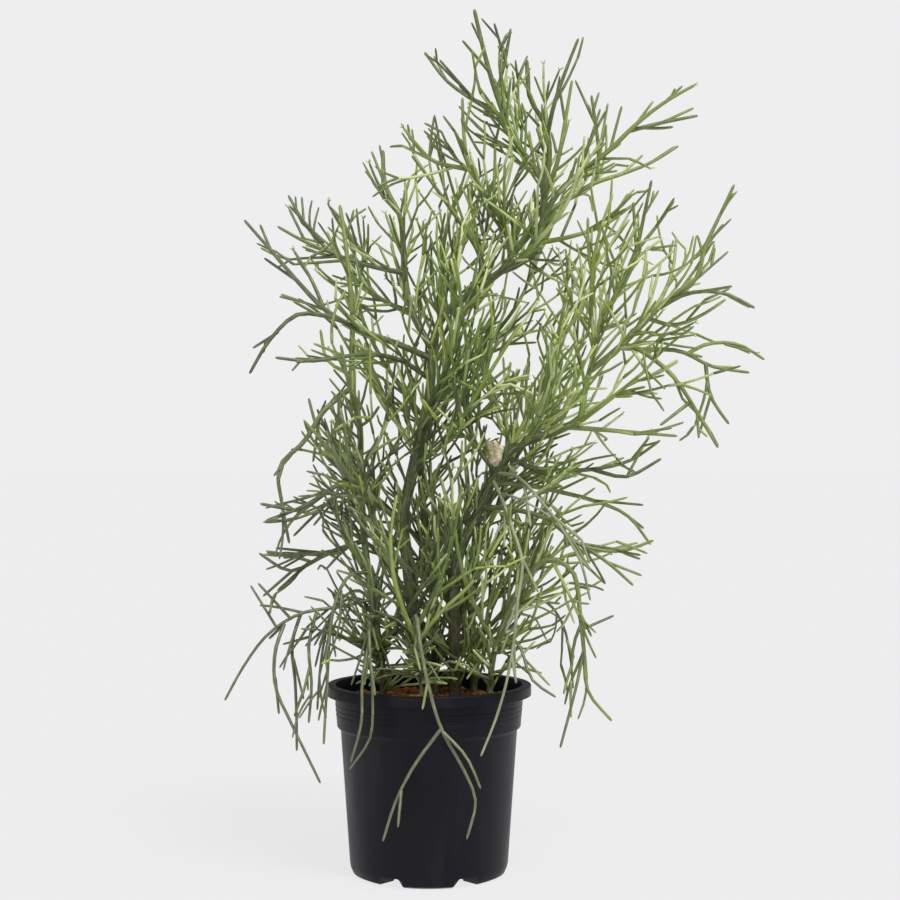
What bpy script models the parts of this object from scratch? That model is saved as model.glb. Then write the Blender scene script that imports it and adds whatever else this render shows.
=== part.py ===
"""Potted pencil cactus: a bushy plant of pencil-thin green twigs in a black nursery pot.

Metres, +Z up. The origin is the middle of the pot's base, on the floor, and the front faces -Y.
Each stem grows by the same rule: limbs follow routes laid by hand, and a seeded rule sets the
shoots along them, which fork again. Nothing is laid where another twig already runs.
"""

import math
import random
from collections import namedtuple

import bmesh
import bpy
from mathutils import Matrix, Quaternion, Vector

MM = 0.001
UP = Vector((0.0, 0.0, 1.0))

# Pot
POT_HEIGHT = 0.175
LIP_RADIUS = 0.095
LIP_DEPTH = 0.010
LIP_WALL = 0.0016
BAND_TOP_RADIUS = 0.0882
BAND_FOOT_RADIUS = 0.0852
BAND_FOOT_HEIGHT = 0.136
BODY_TOP_RADIUS = 0.0820
BODY_TOP_HEIGHT = 0.134
BODY_FOOT_RADIUS = 0.0732
BODY_FOOT_HEIGHT = 0.0075
WALL = 0.0015
POT_SIDES = 48
MERGE_DISTANCE = 0.00005
SMOOTH_ANGLE = math.radians(30.0)

# Pot base: a middle disc and six feet touch the floor, and the rest is raised
BASE_RISE = 0.009
DISC_RADIUS = 0.022
FOOT_INNER_RADIUS = 0.048
FOOT_OUTER_RADIUS = 0.066
FOOT_ROUND_RADIUS = 0.0708
FOOT_ROUND_HEIGHT = 0.0021
FLANK = 0.0024
FEET = 6
NOTCH_REACH = math.radians(8.0)
HOLLOW_REACH = math.radians(16.0)

# Soil
SOIL_EDGE_HEIGHT = 0.159
SOIL_MOUND = 0.004
SOIL_GAP = 0.0003
SOIL_SIDES = 24
SOIL_RINGS = 3
HOLE_DEPTH = 0.032
HOLE_GAP = 0.0004
HOLE_SIDES = 10

# The viewer in front, from whose place the routes were laid out
VIEWER_X = 0.0195
VIEWER_HEIGHT = 0.392
VIEWER_DISTANCE = 1.652

# Limbs: the main branches, whose routes are laid by hand
STEM_STRAIGHT_TOP = 0.168
LIMB_SECTION = 0.034
LIMB_SIDES = 4
THIN_LIMB_RADIUS = 2.4
SMOOTH_STEPS = 4
BEND_TRIES = 60
BEND_REACH = 0.030

# Shoots: the twigs that a seeded rule sets along the limbs, and their forks
SEED = 11
LOWEST_SHOOT = 0.188
GOLDEN_TURN = math.radians(137.5)
TURN_SPREAD = 0.4
SHOOT_RADII = (0.0016, 0.0019)
SHOOT_SECTION = 0.034
SHOOT_ROOT_SHARE = 0.6
SHOOT_TIP_SHARE = 0.8
SHOOT_SIDES = 3
SHOOT_SWAY = 0.12
SHOOT_TRIES = 3
RETRY_LENGTH_SHARE = 0.8
START_LENGTH_SHARE = 1.15
END_LENGTH_SHARE = 0.50
END_ANGLE_SHARE = 0.70
NEARLY_UPRIGHT = 0.1
FORK_RADIUS = 0.0015
FORK_ANGLES = (30, 50)
FORK_LENGTH_SHARES = (0.45, 0.75)
FORK_STEPS = 10
FORK_FROM_STEPS = (4, 6)

# Room kept between twigs, which are followed as rows of balls sorted into a grid of cells
BALL_SPACING = 0.0025
CELL = 0.018
OTHER_STEM_GAP = 0.0016
OWN_STEM_GAP = 0.0006
JUNCTION_REACH = 0.014
LOWEST_TIP = 0.026

Limb = namedtuple("Limb", "habit start_radius tip_radius route")
Habit = namedtuple("Habit", "spacing shortest longest angle lift forks")
Twig = namedtuple("Twig", "stem line radii sides habit")

# How shoots grow on each kind of limb: metres, degrees off the limb, upward pull and forks each
HABITS = {
    "trunk": Habit(0.036, 0.046, 0.080, (34, 56), 0.20, 0.6),
    "crown": Habit(0.033, 0.038, 0.074, (22, 40), 0.22, 0.35),
    "side": Habit(0.036, 0.032, 0.066, (26, 46), 0.12, 0.30),
    "arch": Habit(0.040, 0.024, 0.048, (24, 46), 0.02, 0.25),
    "droop": Habit(0.048, 0.022, 0.046, (18, 36), -0.26, 0.15),
}

# Where each stem stands in the soil, in millimetres
STEM_FEET = {
    "stem_main": (5, 4),
    "stem_right": (24, -10),
    "stem_left": (-42, -14),
    "stem_front": (-6, -46),
    "stem_back": (4, 42),
    "stem_low_right": (56, -18),
    "stem_centre": (42, 24),
}

# Colours in linear light, and how rough each surface is
POT_COLOUR = (0.016, 0.016, 0.021, 1.0)
POT_ROUGHNESS = 0.42
SOIL_COLOUR = (0.060, 0.032, 0.016, 1.0)
SOIL_ROUGHNESS = 0.95
STEM_ROUGHNESS = 0.55
STEM_COLOURS = {
    "stem_main": (0.075, 0.140, 0.028, 1.0),
    "stem_right": (0.130, 0.215, 0.050, 1.0),
    "stem_left": (0.100, 0.165, 0.060, 1.0),
    "stem_front": (0.150, 0.210, 0.085, 1.0),
    "stem_back": (0.060, 0.110, 0.028, 1.0),
    "stem_low_right": (0.120, 0.200, 0.055, 1.0),
    "stem_centre": (0.085, 0.140, 0.035, 1.0),
}

# The plant's outline as the viewer sees it, x and z in millimetres at the pot's axis, laid by hand.
# Shoots keep inside it.
OUTLINE = [
    (33, 796), (56, 796), (81, 784), (92, 765), (145, 777), (139, 730), (192, 718), (251, 738),
    (255, 702), (232, 685), (237, 664), (204, 646), (243, 618), (243, 596), (265, 598), (279, 643),
    (290, 635), (279, 571), (271, 554), (305, 525), (271, 512), (318, 476), (290, 459), (273, 389),
    (254, 400), (226, 425), (237, 400), (195, 364), (215, 297), (192, 261), (165, 272), (176, 222),
    (156, 208), (176, 138), (153, 141), (128, 113), (117, 119), (120, 152), (95, 174), (92, 35),
    (-87, 35), (-95, 80), (-106, 80), (-131, 113), (-148, 169), (-165, 191), (-193, 155), (-195, 169),
    (-153, 225), (-170, 266), (-153, 275), (-162, 342), (-145, 386), (-103, 437), (-87, 453),
    (-120, 465), (-165, 458), (-170, 476), (-159, 509), (-137, 520), (-176, 604), (-165, 610),
    (-142, 593), (-137, 632), (-103, 629), (-70, 621), (-64, 665), (-45, 677), (-28, 694), (-8, 704),
    (25, 704), (20, 727), (-8, 763), (0, 769), (28, 755),
]

# Limb routes in millimetres: x and z as the viewer sees them at the pot's axis, y the true depth.
# The first limb of a stem is its trunk, which starts in the soil. Every other limb starts on the
# nearest point of the limbs before it.
LIMBS = {
    "stem_main": [
        Limb("trunk", 6.4, 4.8, [(-13, 2, 234), (-20, 0, 290), (-25, 0, 325), (-20, 2, 351),
                                 (-13, 4, 382), (-4, 4, 423), (3, 2, 464), (2, 0, 487)]),
        Limb("crown", 4.0, 2.1, [(2, 0, 487), (18, -8, 525), (42, -12, 539), (62, -14, 555),
                                 (84, -10, 570), (101, -6, 586), (108, 0, 634), (94, 4, 657),
                                 (78, 6, 685), (63, 6, 722), (52, 4, 759), (42, 0, 802)]),
        Limb("crown", 3.5, 2.2, [(2, 0, 487), (-14, 12, 516), (-20, 20, 530), (-23, 30, 565),
                                 (-27, 40, 610), (-40, 48, 634), (-43, 52, 671)]),
        Limb("crown", 2.8, 2.1, [(108, 0, 632), (111, 14, 650), (110, 26, 690), (94, 34, 717),
                                 (91, 38, 755)]),
        Limb("crown", 2.6, 1.6, [(108, -2, 628), (116, -16, 650), (120, -24, 662), (126, -28, 694),
                                 (133, -34, 736)]),
        Limb("crown", 2.3, 1.6, [(110, 22, 684), (114, 14, 705), (122, 8, 731), (139, 2, 775)]),
        Limb("crown", 2.8, 1.6, [(76, -12, 566), (70, -24, 600), (57, -34, 624), (38, -42, 652),
                                 (32, -46, 690), (31, -48, 720)]),
        Limb("crown", 2.2, 1.6, [(72, 6, 700), (56, 14, 708), (38, 20, 720), (10, 28, 741),
                                 (-4, 32, 762)]),
        Limb("side", 2.4, 1.6, [(38, -42, 652), (14, -50, 660), (-8, -56, 666), (-24, -60, 692)]),
        Limb("crown", 2.6, 1.6, [(48, -12, 543), (47, 8, 578), (29, 22, 601), (15, 28, 624),
                                 (-16, 34, 666)]),
        Limb("crown", 3.0, 1.6, [(104, -3, 600), (122, -16, 634), (168, -30, 671), (205, -38, 706),
                                 (248, -44, 732)]),
        Limb("side", 2.2, 1.6, [(187, -34, 687), (205, -24, 694), (250, -18, 703)]),
        Limb("crown", 2.6, 1.6, [(106, -1, 612), (136, 18, 629), (159, 30, 643), (196, 42, 654),
                                 (232, 50, 675)]),
        Limb("crown", 2.2, 1.6, [(154, 28, 641), (158, 34, 668), (151, 40, 722)]),
        Limb("crown", 2.2, 1.6, [(138, -21, 648), (150, -30, 680), (165, -34, 708)]),
        Limb("side", 3.2, 1.6, [(2, 1, 476), (-20, -8, 488), (-46, -16, 496), (-87, -28, 515),
                                (-115, -36, 541), (-143, -42, 573), (-172, -46, 606)]),
        Limb("side", 2.2, 1.6, [(-98, -31, 524), (-108, -22, 548), (-126, -16, 578)]),
        Limb("crown", 2.6, 1.6, [(-22, 27, 556), (-36, 32, 560), (-64, 42, 566), (-101, 54, 583),
                                 (-131, 62, 629)]),
        Limb("side", 2.2, 1.6, [(-88, 48, 576), (-112, 42, 584), (-141, 36, 600)]),
        Limb("arch", 2.5, 1.6, [(-66, -22, 503), (-92, -48, 516), (-106, -56, 521), (-125, -60, 517),
                                (-143, -62, 503), (-153, -62, 485), (-167, -60, 463)]),
        Limb("side", 2.5, 1.6, [(2, 2, 458), (-32, -20, 478), (-69, -52, 480), (-117, -76, 474),
                                (-143, -86, 478)]),
        Limb("crown", 2.8, 1.6, [(-4, 4, 425), (8, -30, 450), (20, -62, 480), (30, -92, 520),
                                 (24, -112, 570)]),
        Limb("crown", 2.9, 1.6, [(-13, 4, 385), (-6, 40, 410), (10, 80, 450), (26, 108, 500),
                                 (20, 126, 560)]),
        Limb("side", 2.5, 1.6, [(-24, 0, 322), (-50, -34, 345), (-80, -64, 375), (-96, -84, 410)]),
        Limb("side", 2.5, 1.6, [(-14, 4, 378), (12, -28, 396), (36, -54, 430), (60, -74, 470),
                                (86, -90, 510)]),
        Limb("crown", 2.5, 1.6, [(84, -10, 571), (104, -44, 590), (128, -74, 620), (140, -92, 655)]),
        Limb("crown", 2.6, 1.6, [(62, -12, 556), (84, 30, 580), (110, 64, 610), (140, 92, 640)]),
        Limb("crown", 2.6, 1.6, [(-15, 13, 518), (-40, 50, 530), (-70, 84, 550), (-90, 110, 590)]),
        Limb("crown", 2.1, 1.6, [(62, 6, 724), (70, 10, 750), (76, 14, 784)]),
        Limb("crown", 2.1, 1.6, [(56, 5, 742), (42, -6, 754), (31, -12, 773)]),
        Limb("crown", 2.2, 1.6, [(88, 5, 666), (72, -14, 690), (64, -24, 730)]),
        Limb("crown", 2.2, 1.6, [(98, 4, 652), (78, 24, 680), (58, 36, 716)]),
        Limb("crown", 2.5, 1.6, [(100, -8, 584), (130, 12, 590), (165, 28, 602), (192, 36, 622)]),
        Limb("crown", 2.4, 1.6, [(-10, 4, 392), (-32, 14, 420), (-52, 26, 450), (-60, 36, 492)]),
        Limb("side", 2.3, 1.6, [(-16, 2, 252), (-36, 22, 280), (-50, 34, 318), (-54, 40, 360)]),
        Limb("side", 2.3, 1.6, [(-14, 2, 238), (-2, -24, 262), (22, -40, 290), (44, -50, 326)]),
    ],
    "stem_right": [
        Limb("trunk", 6.2, 4.2, [(24, -10, 210), (23, -8, 275), (36, -6, 316), (49, -8, 340),
                                 (58, -10, 360), (66, -12, 384), (90, -16, 400), (115, -20, 408),
                                 (141, -24, 419)]),
        Limb("side", 2.8, 1.6, [(141, -24, 419), (154, -30, 435), (174, -38, 443), (190, -44, 452),
                                (204, -50, 468)]),
        Limb("crown", 3.2, 1.6, [(141, -24, 419), (148, -16, 464), (154, -10, 490), (150, -4, 520),
                                 (136, 2, 545)]),
        Limb("crown", 3.1, 1.6, [(148, -16, 464), (174, -20, 485), (200, -26, 510), (226, -32, 536),
                                 (254, -36, 556), (257, -38, 586), (270, -40, 609), (284, -42, 639)]),
        Limb("crown", 2.6, 1.6, [(154, -10, 490), (170, 4, 530), (190, 16, 570), (200, 24, 610),
                                 (207, 28, 643)]),
        Limb("side", 2.1, 1.6, [(192, 17, 575), (210, 10, 598), (228, 4, 624)]),
        Limb("crown", 2.2, 1.6, [(154, -10, 495), (160, -30, 520), (159, -44, 545)]),
        Limb("arch", 2.5, 1.6, [(176, -20, 487), (190, -2, 485), (215, 8, 486), (243, 14, 482),
                                (254, 16, 472), (298, 18, 464)]),
        Limb("arch", 2.1, 1.6, [(256, 16, 470), (263, 8, 438), (279, 2, 416)]),
        Limb("arch", 2.1, 1.6, [(240, 14, 483), (252, 24, 490), (289, 32, 490), (312, 36, 476)]),
        Limb("side", 2.2, 1.6, [(213, -29, 523), (245, -44, 539), (284, -54, 536), (303, -58, 524)]),
        Limb("arch", 2.5, 1.6, [(180, -21, 490), (196, -50, 484), (215, -62, 476), (245, -70, 434),
                                (269, -74, 394)]),
        Limb("arch", 2.1, 1.6, [(243, -69, 437), (232, -78, 424), (215, -84, 415)]),
        Limb("side", 2.5, 1.6, [(128, -22, 413), (159, -4, 411), (195, 10, 408), (231, 20, 405)]),
        Limb("side", 2.5, 1.6, [(70, -11, 388), (95, 10, 376), (122, 22, 373), (177, 36, 378),
                                (215, 44, 401)]),
        Limb("droop", 2.2, 1.6, [(60, -10, 374), (84, -40, 366), (103, -58, 346), (115, -68, 327),
                                 (136, -76, 303), (150, -80, 252)]),
        Limb("droop", 2.2, 1.6, [(58, -10, 366), (66, -34, 352), (70, -52, 338), (78, -66, 318),
                                 (86, -76, 290), (90, -82, 269), (82, -86, 251), (80, -88, 226),
                                 (78, -88, 209), (68, -88, 159), (48, -92, 107)]),
        Limb("side", 2.6, 1.6, [(48, -8, 338), (84, -30, 336), (112, -42, 327), (144, -50, 302),
                                (196, -56, 298), (209, -58, 308)]),
        Limb("side", 2.1, 1.6, [(142, -50, 304), (157, -62, 295), (190, -72, 266)]),
        Limb("side", 2.5, 1.6, [(58, -10, 362), (86, 8, 360), (112, 24, 355), (150, 36, 346),
                                (191, 44, 327), (206, 48, 304)]),
        Limb("crown", 2.5, 1.6, [(90, -14, 400), (100, -48, 420), (112, -80, 452), (120, -100, 490)]),
        Limb("crown", 2.6, 1.6, [(66, -10, 384), (84, 26, 410), (104, 64, 440), (120, 100, 480),
                                 (130, 120, 530)]),
        Limb("crown", 2.3, 1.6, [(200, -26, 510), (214, 10, 530), (226, 44, 556), (230, 70, 590)]),
        Limb("crown", 2.4, 1.6, [(150, -4, 518), (152, -14, 560), (160, -24, 600), (171, -30, 630)]),
        Limb("side", 2.2, 1.6, [(205, -27, 514), (232, -8, 508), (258, 2, 520), (276, 6, 532)]),
        Limb("arch", 2.2, 1.6, [(150, 30, 376), (180, 16, 366), (216, 8, 384)]),
        Limb("crown", 2.5, 1.6, [(62, -11, 372), (42, -32, 400), (32, -46, 440), (36, -56, 484)]),
        Limb("crown", 2.3, 1.6, [(78, -14, 392), (70, 6, 430), (76, 20, 474)]),
        Limb("side", 2.3, 1.6, [(23, -9, 226), (4, -30, 256), (-16, -46, 290), (-34, -56, 330)]),
    ],
    "stem_left": [
        Limb("side", 3.8, 2.1, [(-46, -14, 210), (-53, -14, 252), (-62, -16, 327), (-64, -16, 390),
                                (-65, -14, 424), (-72, -12, 455), (-71, -4, 513), (-74, 0, 550),
                                (-78, 4, 587), (-83, 8, 620)]),
        Limb("arch", 2.6, 1.6, [(-72, -12, 452), (-94, -20, 432), (-112, -26, 413), (-117, -30, 398),
                                (-133, -34, 390), (-140, -36, 374), (-140, -38, 356), (-136, -40, 338),
                                (-135, -40, 318), (-130, -40, 305)]),
        Limb("side", 2.2, 1.6, [(-70, -10, 462), (-99, 12, 480), (-101, 20, 504)]),
        Limb("side", 2.5, 1.6, [(-64, -16, 373), (-84, -34, 360), (-101, -46, 350), (-120, -54, 338),
                                (-152, -62, 326)]),
        Limb("arch", 2.1, 1.6, [(-125, -55, 336), (-140, -66, 333), (-157, -74, 342)]),
        Limb("side", 2.5, 1.6, [(-60, -16, 308), (-104, -2, 292), (-138, 8, 277), (-158, 12, 296)]),
        Limb("side", 2.1, 1.6, [(-112, 0, 289), (-123, -10, 278), (-141, -18, 261)]),
        Limb("droop", 2.2, 1.6, [(-53, -14, 254), (-84, -32, 246), (-112, -40, 243), (-142, -46, 227),
                                 (-152, -48, 218), (-180, -52, 180), (-190, -54, 159)]),
        Limb("droop", 2.1, 1.6, [(-142, -46, 227), (-147, -40, 238), (-166, -34, 266)]),
        Limb("droop", 2.2, 1.6, [(-134, -44, 231), (-142, -58, 218), (-143, -64, 172), (-133, -66, 148),
                                 (-101, -68, 82)]),
        Limb("droop", 2.2, 1.6, [(-118, -41, 240), (-128, -30, 208), (-124, -26, 172),
                                 (-123, -24, 112)]),
        Limb("droop", 2.0, 1.6, [(-128, -43, 236), (-138, -54, 246), (-159, -62, 268)]),
        Limb("side", 2.5, 1.6, [(-64, -16, 395), (-66, -50, 420), (-74, -84, 450), (-82, -100, 490)]),
        Limb("side", 2.6, 1.6, [(-62, -16, 340), (-80, 20, 370), (-100, 54, 400), (-112, 84, 440)]),
        Limb("droop", 2.2, 1.6, [(-48, -14, 232), (-54, -50, 240), (-56, -82, 222), (-54, -98, 185),
                                 (-52, -100, 138), (-57, -98, 120), (-74, -94, 95)]),
        Limb("droop", 2.0, 1.6, [(-56, -86, 214), (-62, -102, 182), (-63, -104, 138),
                                 (-73, -104, 101)]),
        Limb("droop", 2.2, 1.6, [(-52, -14, 250), (-70, 30, 262), (-90, 70, 240), (-100, 90, 200),
                                 (-104, 96, 150)]),
        Limb("droop", 2.2, 1.6, [(-104, -38, 242), (-112, -52, 214), (-109, -58, 170),
                                 (-112, -60, 138)]),
        Limb("droop", 2.2, 1.6, [(-56, -15, 278), (-76, -42, 274), (-90, -58, 240), (-94, -66, 190),
                                 (-98, -70, 118)]),
        Limb("droop", 2.2, 1.6, [(-50, -14, 238), (-70, 10, 256), (-92, 26, 238), (-106, 34, 190)]),
        Limb("side", 2.4, 1.6, [(-63, -16, 350), (-84, 6, 350), (-108, 24, 330), (-126, 34, 312)]),
        Limb("side", 2.4, 1.6, [(-46, -14, 205), (-24, -34, 236), (-4, -52, 272), (8, -62, 316),
                                (10, -66, 352)]),
    ],
    "stem_front": [
        Limb("droop", 2.5, 1.6, [(-10, -50, 205), (-14, -62, 238), (-12, -80, 240), (-9, -96, 215),
                                 (-3, -103, 185), (4, -104, 154), (11, -104, 133), (28, -104, 101),
                                 (44, -103, 77), (35, -102, 30)]),
        Limb("droop", 2.1, 1.6, [(11, -104, 133), (-8, -103, 106), (-24, -103, 84), (-43, -102, 28)]),
        Limb("droop", 2.0, 1.6, [(-28, -103, 76), (-28, -108, 60), (-29, -110, 41)]),
        Limb("droop", 2.0, 1.6, [(13, -104, 130), (26, -112, 116), (45, -114, 94), (48, -114, 77)]),
        Limb("side", 2.5, 1.6, [(-12, -52, 215), (-30, -68, 260), (-36, -80, 310), (-30, -88, 350)]),
        Limb("side", 2.5, 1.6, [(-12, -55, 225), (10, -68, 270), (24, -80, 320), (30, -92, 360)]),
        Limb("side", 2.3, 1.6, [(-12, -52, 212), (8, -62, 238), (34, -68, 262), (60, -72, 292)]),
    ],
    "stem_back": [
        Limb("trunk", 5.0, 3.0, [(6, 42, 220), (0, 52, 300), (-8, 66, 370), (0, 84, 440)]),
        Limb("crown", 2.5, 1.6, [(0, 84, 440), (10, 104, 520), (14, 116, 590), (30, 120, 640)]),
        Limb("side", 2.6, 1.6, [(0, 52, 300), (-40, 76, 340), (-80, 100, 380), (-104, 120, 430)]),
        Limb("side", 2.6, 1.6, [(0, 50, 285), (40, 74, 320), (84, 98, 360), (120, 118, 410),
                                (140, 130, 470)]),
        Limb("crown", 2.5, 1.6, [(0, 82, 432), (44, 96, 480), (84, 110, 530), (104, 120, 580)]),
        Limb("crown", 2.5, 1.6, [(-2, 78, 420), (-40, 100, 470), (-64, 116, 520), (-70, 124, 570)]),
        Limb("droop", 2.2, 1.6, [(4, 44, 250), (20, 72, 268), (40, 98, 240), (46, 114, 190),
                                 (44, 118, 130)]),
        Limb("droop", 2.2, 1.6, [(4, 43, 240), (-30, 72, 262), (-54, 100, 240), (-60, 112, 190),
                                 (-58, 114, 140)]),
    ],
    "stem_low_right": [
        Limb("side", 3.2, 1.6, [(62, -24, 210), (84, -38, 262), (110, -48, 292), (131, -52, 288),
                                (140, -54, 243), (144, -54, 207), (150, -54, 159), (170, -54, 140)]),
        Limb("droop", 2.0, 1.6, [(144, -54, 207), (137, -62, 172), (122, -66, 115)]),
        Limb("droop", 2.0, 1.6, [(143, -54, 224), (163, -46, 221), (172, -42, 238)]),
        Limb("side", 2.5, 1.6, [(66, -27, 226), (96, 0, 262), (120, 20, 290), (150, 34, 300)]),
        Limb("droop", 2.1, 1.6, [(66, -26, 222), (82, -52, 214), (94, -70, 186), (98, -74, 164),
                                 (118, -76, 162)]),
        Limb("droop", 2.2, 1.6, [(62, -24, 212), (84, 14, 244), (110, 50, 250), (128, 70, 220),
                                 (134, 76, 170)]),
        Limb("side", 2.4, 1.6, [(62, -24, 208), (46, -48, 240), (30, -64, 280), (22, -74, 330),
                                (10, -78, 366)]),
    ],
    "stem_centre": [
        Limb("trunk", 3.6, 2.2, [(42, 24, 210), (40, 22, 262), (48, 24, 310), (70, 34, 350),
                                 (80, 40, 400)]),
        Limb("side", 2.5, 1.6, [(42, 24, 205), (20, 30, 250), (-6, 34, 290)]),
        Limb("side", 2.5, 1.6, [(42, 24, 215), (76, 40, 250), (100, 52, 300), (124, 60, 340)]),
        Limb("side", 2.3, 1.6, [(41, 23, 236), (64, 6, 262), (86, -6, 300), (92, -14, 345)]),
    ],
}

# The woody knot part way up the right-hand stem, where its pale branches start
KNOT_STEM = "stem_right"
KNOT_PLACE = (59, -15, 389)
KNOT_SIZE = Vector((0.0095, 0.0090, 0.0110))
KNOT_DETAIL = 2


def placed(point):
    """Turn a route point, in millimetres as the viewer sees it, into its true place in metres."""
    x, y, z = (value * MM for value in point)
    spread = 1.0 + y / VIEWER_DISTANCE
    return Vector((VIEWER_X + (x - VIEWER_X) * spread, y, VIEWER_HEIGHT + (z - VIEWER_HEIGHT) * spread))


def curve_point(before, start, end, after, share):
    """A point between start and end on the smooth curve that also heeds the points on either side."""
    slope_in = (end - before) * 0.5
    slope_out = (after - start) * 0.5
    s2 = share * share
    s3 = s2 * share
    return (start * (2 * s3 - 3 * s2 + 1) + slope_in * (s3 - 2 * s2 + share)
            + end * (3 * s2 - 2 * s3) + slope_out * (s3 - s2))


def smooth_line(points, steps):
    """A smooth line through the points, with the given number of steps from each to the next."""
    padded = [points[0] * 2 - points[1], *points, points[-1] * 2 - points[-2]]
    line = [points[0].copy()]
    for corners in zip(padded, padded[1:], padded[2:], padded[3:]):
        line.extend(curve_point(*corners, step / steps) for step in range(1, steps + 1))
    return line


def walk(line, spacing):
    """Yield points at even distances along a line, as (point, heading, share of its length)."""
    lengths = [(b - a).length for a, b in zip(line, line[1:])]
    total = sum(lengths)
    count = max(1, round(total / spacing))
    index = 0
    passed = 0.0
    for step in range(count + 1):
        target = total * step / count
        while index < len(lengths) - 1 and passed + lengths[index] < target:
            passed += lengths[index]
            index += 1
        start, end = line[index], line[index + 1]
        point = start.lerp(end, min(1.0, (target - passed) / lengths[index]))
        yield point, (end - start).normalized(), step / count


def even_line(line, spacing):
    return [point for point, _, _ in walk(line, spacing)]


def between(start, end, share):
    """The value that lies the given share of the way from start to end."""
    return start + (end - start) * share


def tapered(line, start_radius, tip_radius):
    """A radius for each point, from the start's to the tip's."""
    last = len(line) - 1
    return [between(start_radius, tip_radius, index / last) for index in range(last + 1)]


def seen(point):
    """Where the viewer sees a point: x and z in millimetres at the pot's axis."""
    spread = (1.0 + point.y / VIEWER_DISTANCE) * MM
    x = VIEWER_X / MM + (point.x - VIEWER_X) / spread
    return x, VIEWER_HEIGHT / MM + (point.z - VIEWER_HEIGHT) / spread


def within_outline(point):
    """True where the viewer sees a point inside the plant's outline."""
    x, z = seen(point)
    inside = False
    for (start_x, start_z), (end_x, end_z) in zip(OUTLINE, OUTLINE[1:] + OUTLINE[:1]):
        if (start_z > z) != (end_z > z):
            crossing = between(start_x, end_x, (z - start_z) / (end_z - start_z))
            inside = inside != (x < crossing)
    return inside


class Room:
    """The space that twigs take, held as balls along their centre lines in a grid of cells."""

    def __init__(self):
        self.cells = {}

    @staticmethod
    def cell_of(point):
        return tuple(math.floor(value / CELL) for value in point)

    @staticmethod
    def balls(line, radii):
        for point, _, share in walk(line, BALL_SPACING):
            yield point, between(radii[0], radii[-1], share)

    def take(self, stem, line, radii):
        for point, radius in self.balls(line, radii):
            self.cells.setdefault(self.cell_of(point), []).append((stem, point, radius))

    def neighbours(self, point):
        cx, cy, cz = self.cell_of(point)
        for x in (cx - 1, cx, cx + 1):
            for y in (cy - 1, cy, cy + 1):
                for z in (cz - 1, cz, cz + 1):
                    yield from self.cells.get((x, y, z), ())

    def clash(self, stem, line, radii):
        """The worst overlap of a new twig with one already there: (depth, point, other), or None."""
        worst = None
        for point, radius in self.balls(line, radii):
            for other_stem, other, other_radius in self.neighbours(point):
                gap = OTHER_STEM_GAP
                if other_stem == stem:
                    gap = OWN_STEM_GAP
                    if (other - line[0]).length < JUNCTION_REACH + radii[0]:
                        continue
                depth = radius + other_radius + gap - (point - other).length
                if depth > 0 and (worst is None or depth > worst[0]):
                    worst = (depth, point, other)
        return worst


def meets_pot(line, radii):
    """True where a line comes too near the pot, the soil or the floor."""
    mouth = BAND_TOP_RADIUS - WALL - OTHER_STEM_GAP
    soil_top = SOIL_EDGE_HEIGHT + SOIL_MOUND
    for point, radius in Room.balls(line, radii):
        low = point.z - radius - OTHER_STEM_GAP
        out = math.hypot(point.x, point.y)
        within = out + radius < mouth and low > soil_top
        outside = out - radius > LIP_RADIUS + OTHER_STEM_GAP and low > LOWEST_TIP
        if low < POT_HEIGHT and not within and not outside:
            return True
    return False


def bent_clear(room, stem, route, radii):
    """Shift a limb's points in depth, so that the front view stays, until it clears its neighbours."""
    for _ in range(BEND_TRIES):
        line = even_line(smooth_line(route, SMOOTH_STEPS), LIMB_SECTION)
        clash = room.clash(stem, line, radii)
        if clash is None:
            break
        depth, point, other = clash
        way = 1.0 if point.y >= other.y else -1.0
        for index in range(1, len(route)):
            nearness = math.exp(-((route[index] - point).length / BEND_REACH) ** 2)
            route[index].y += way * (depth + MM) * nearness
    return even_line(smooth_line(route, SMOOTH_STEPS), LIMB_SECTION)


def side_heading(heading, turn, angle):
    """A heading that leaves the given one by the angle, turned round it by the turn."""
    across = heading.cross(UP)
    if across.length < NEARLY_UPRIGHT:
        across = heading.cross(Vector((0.0, 1.0, 0.0)))
    across.normalize()
    across.rotate(Quaternion(heading, turn))
    return (heading * math.cos(angle) + across * math.sin(angle)).normalized()


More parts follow.
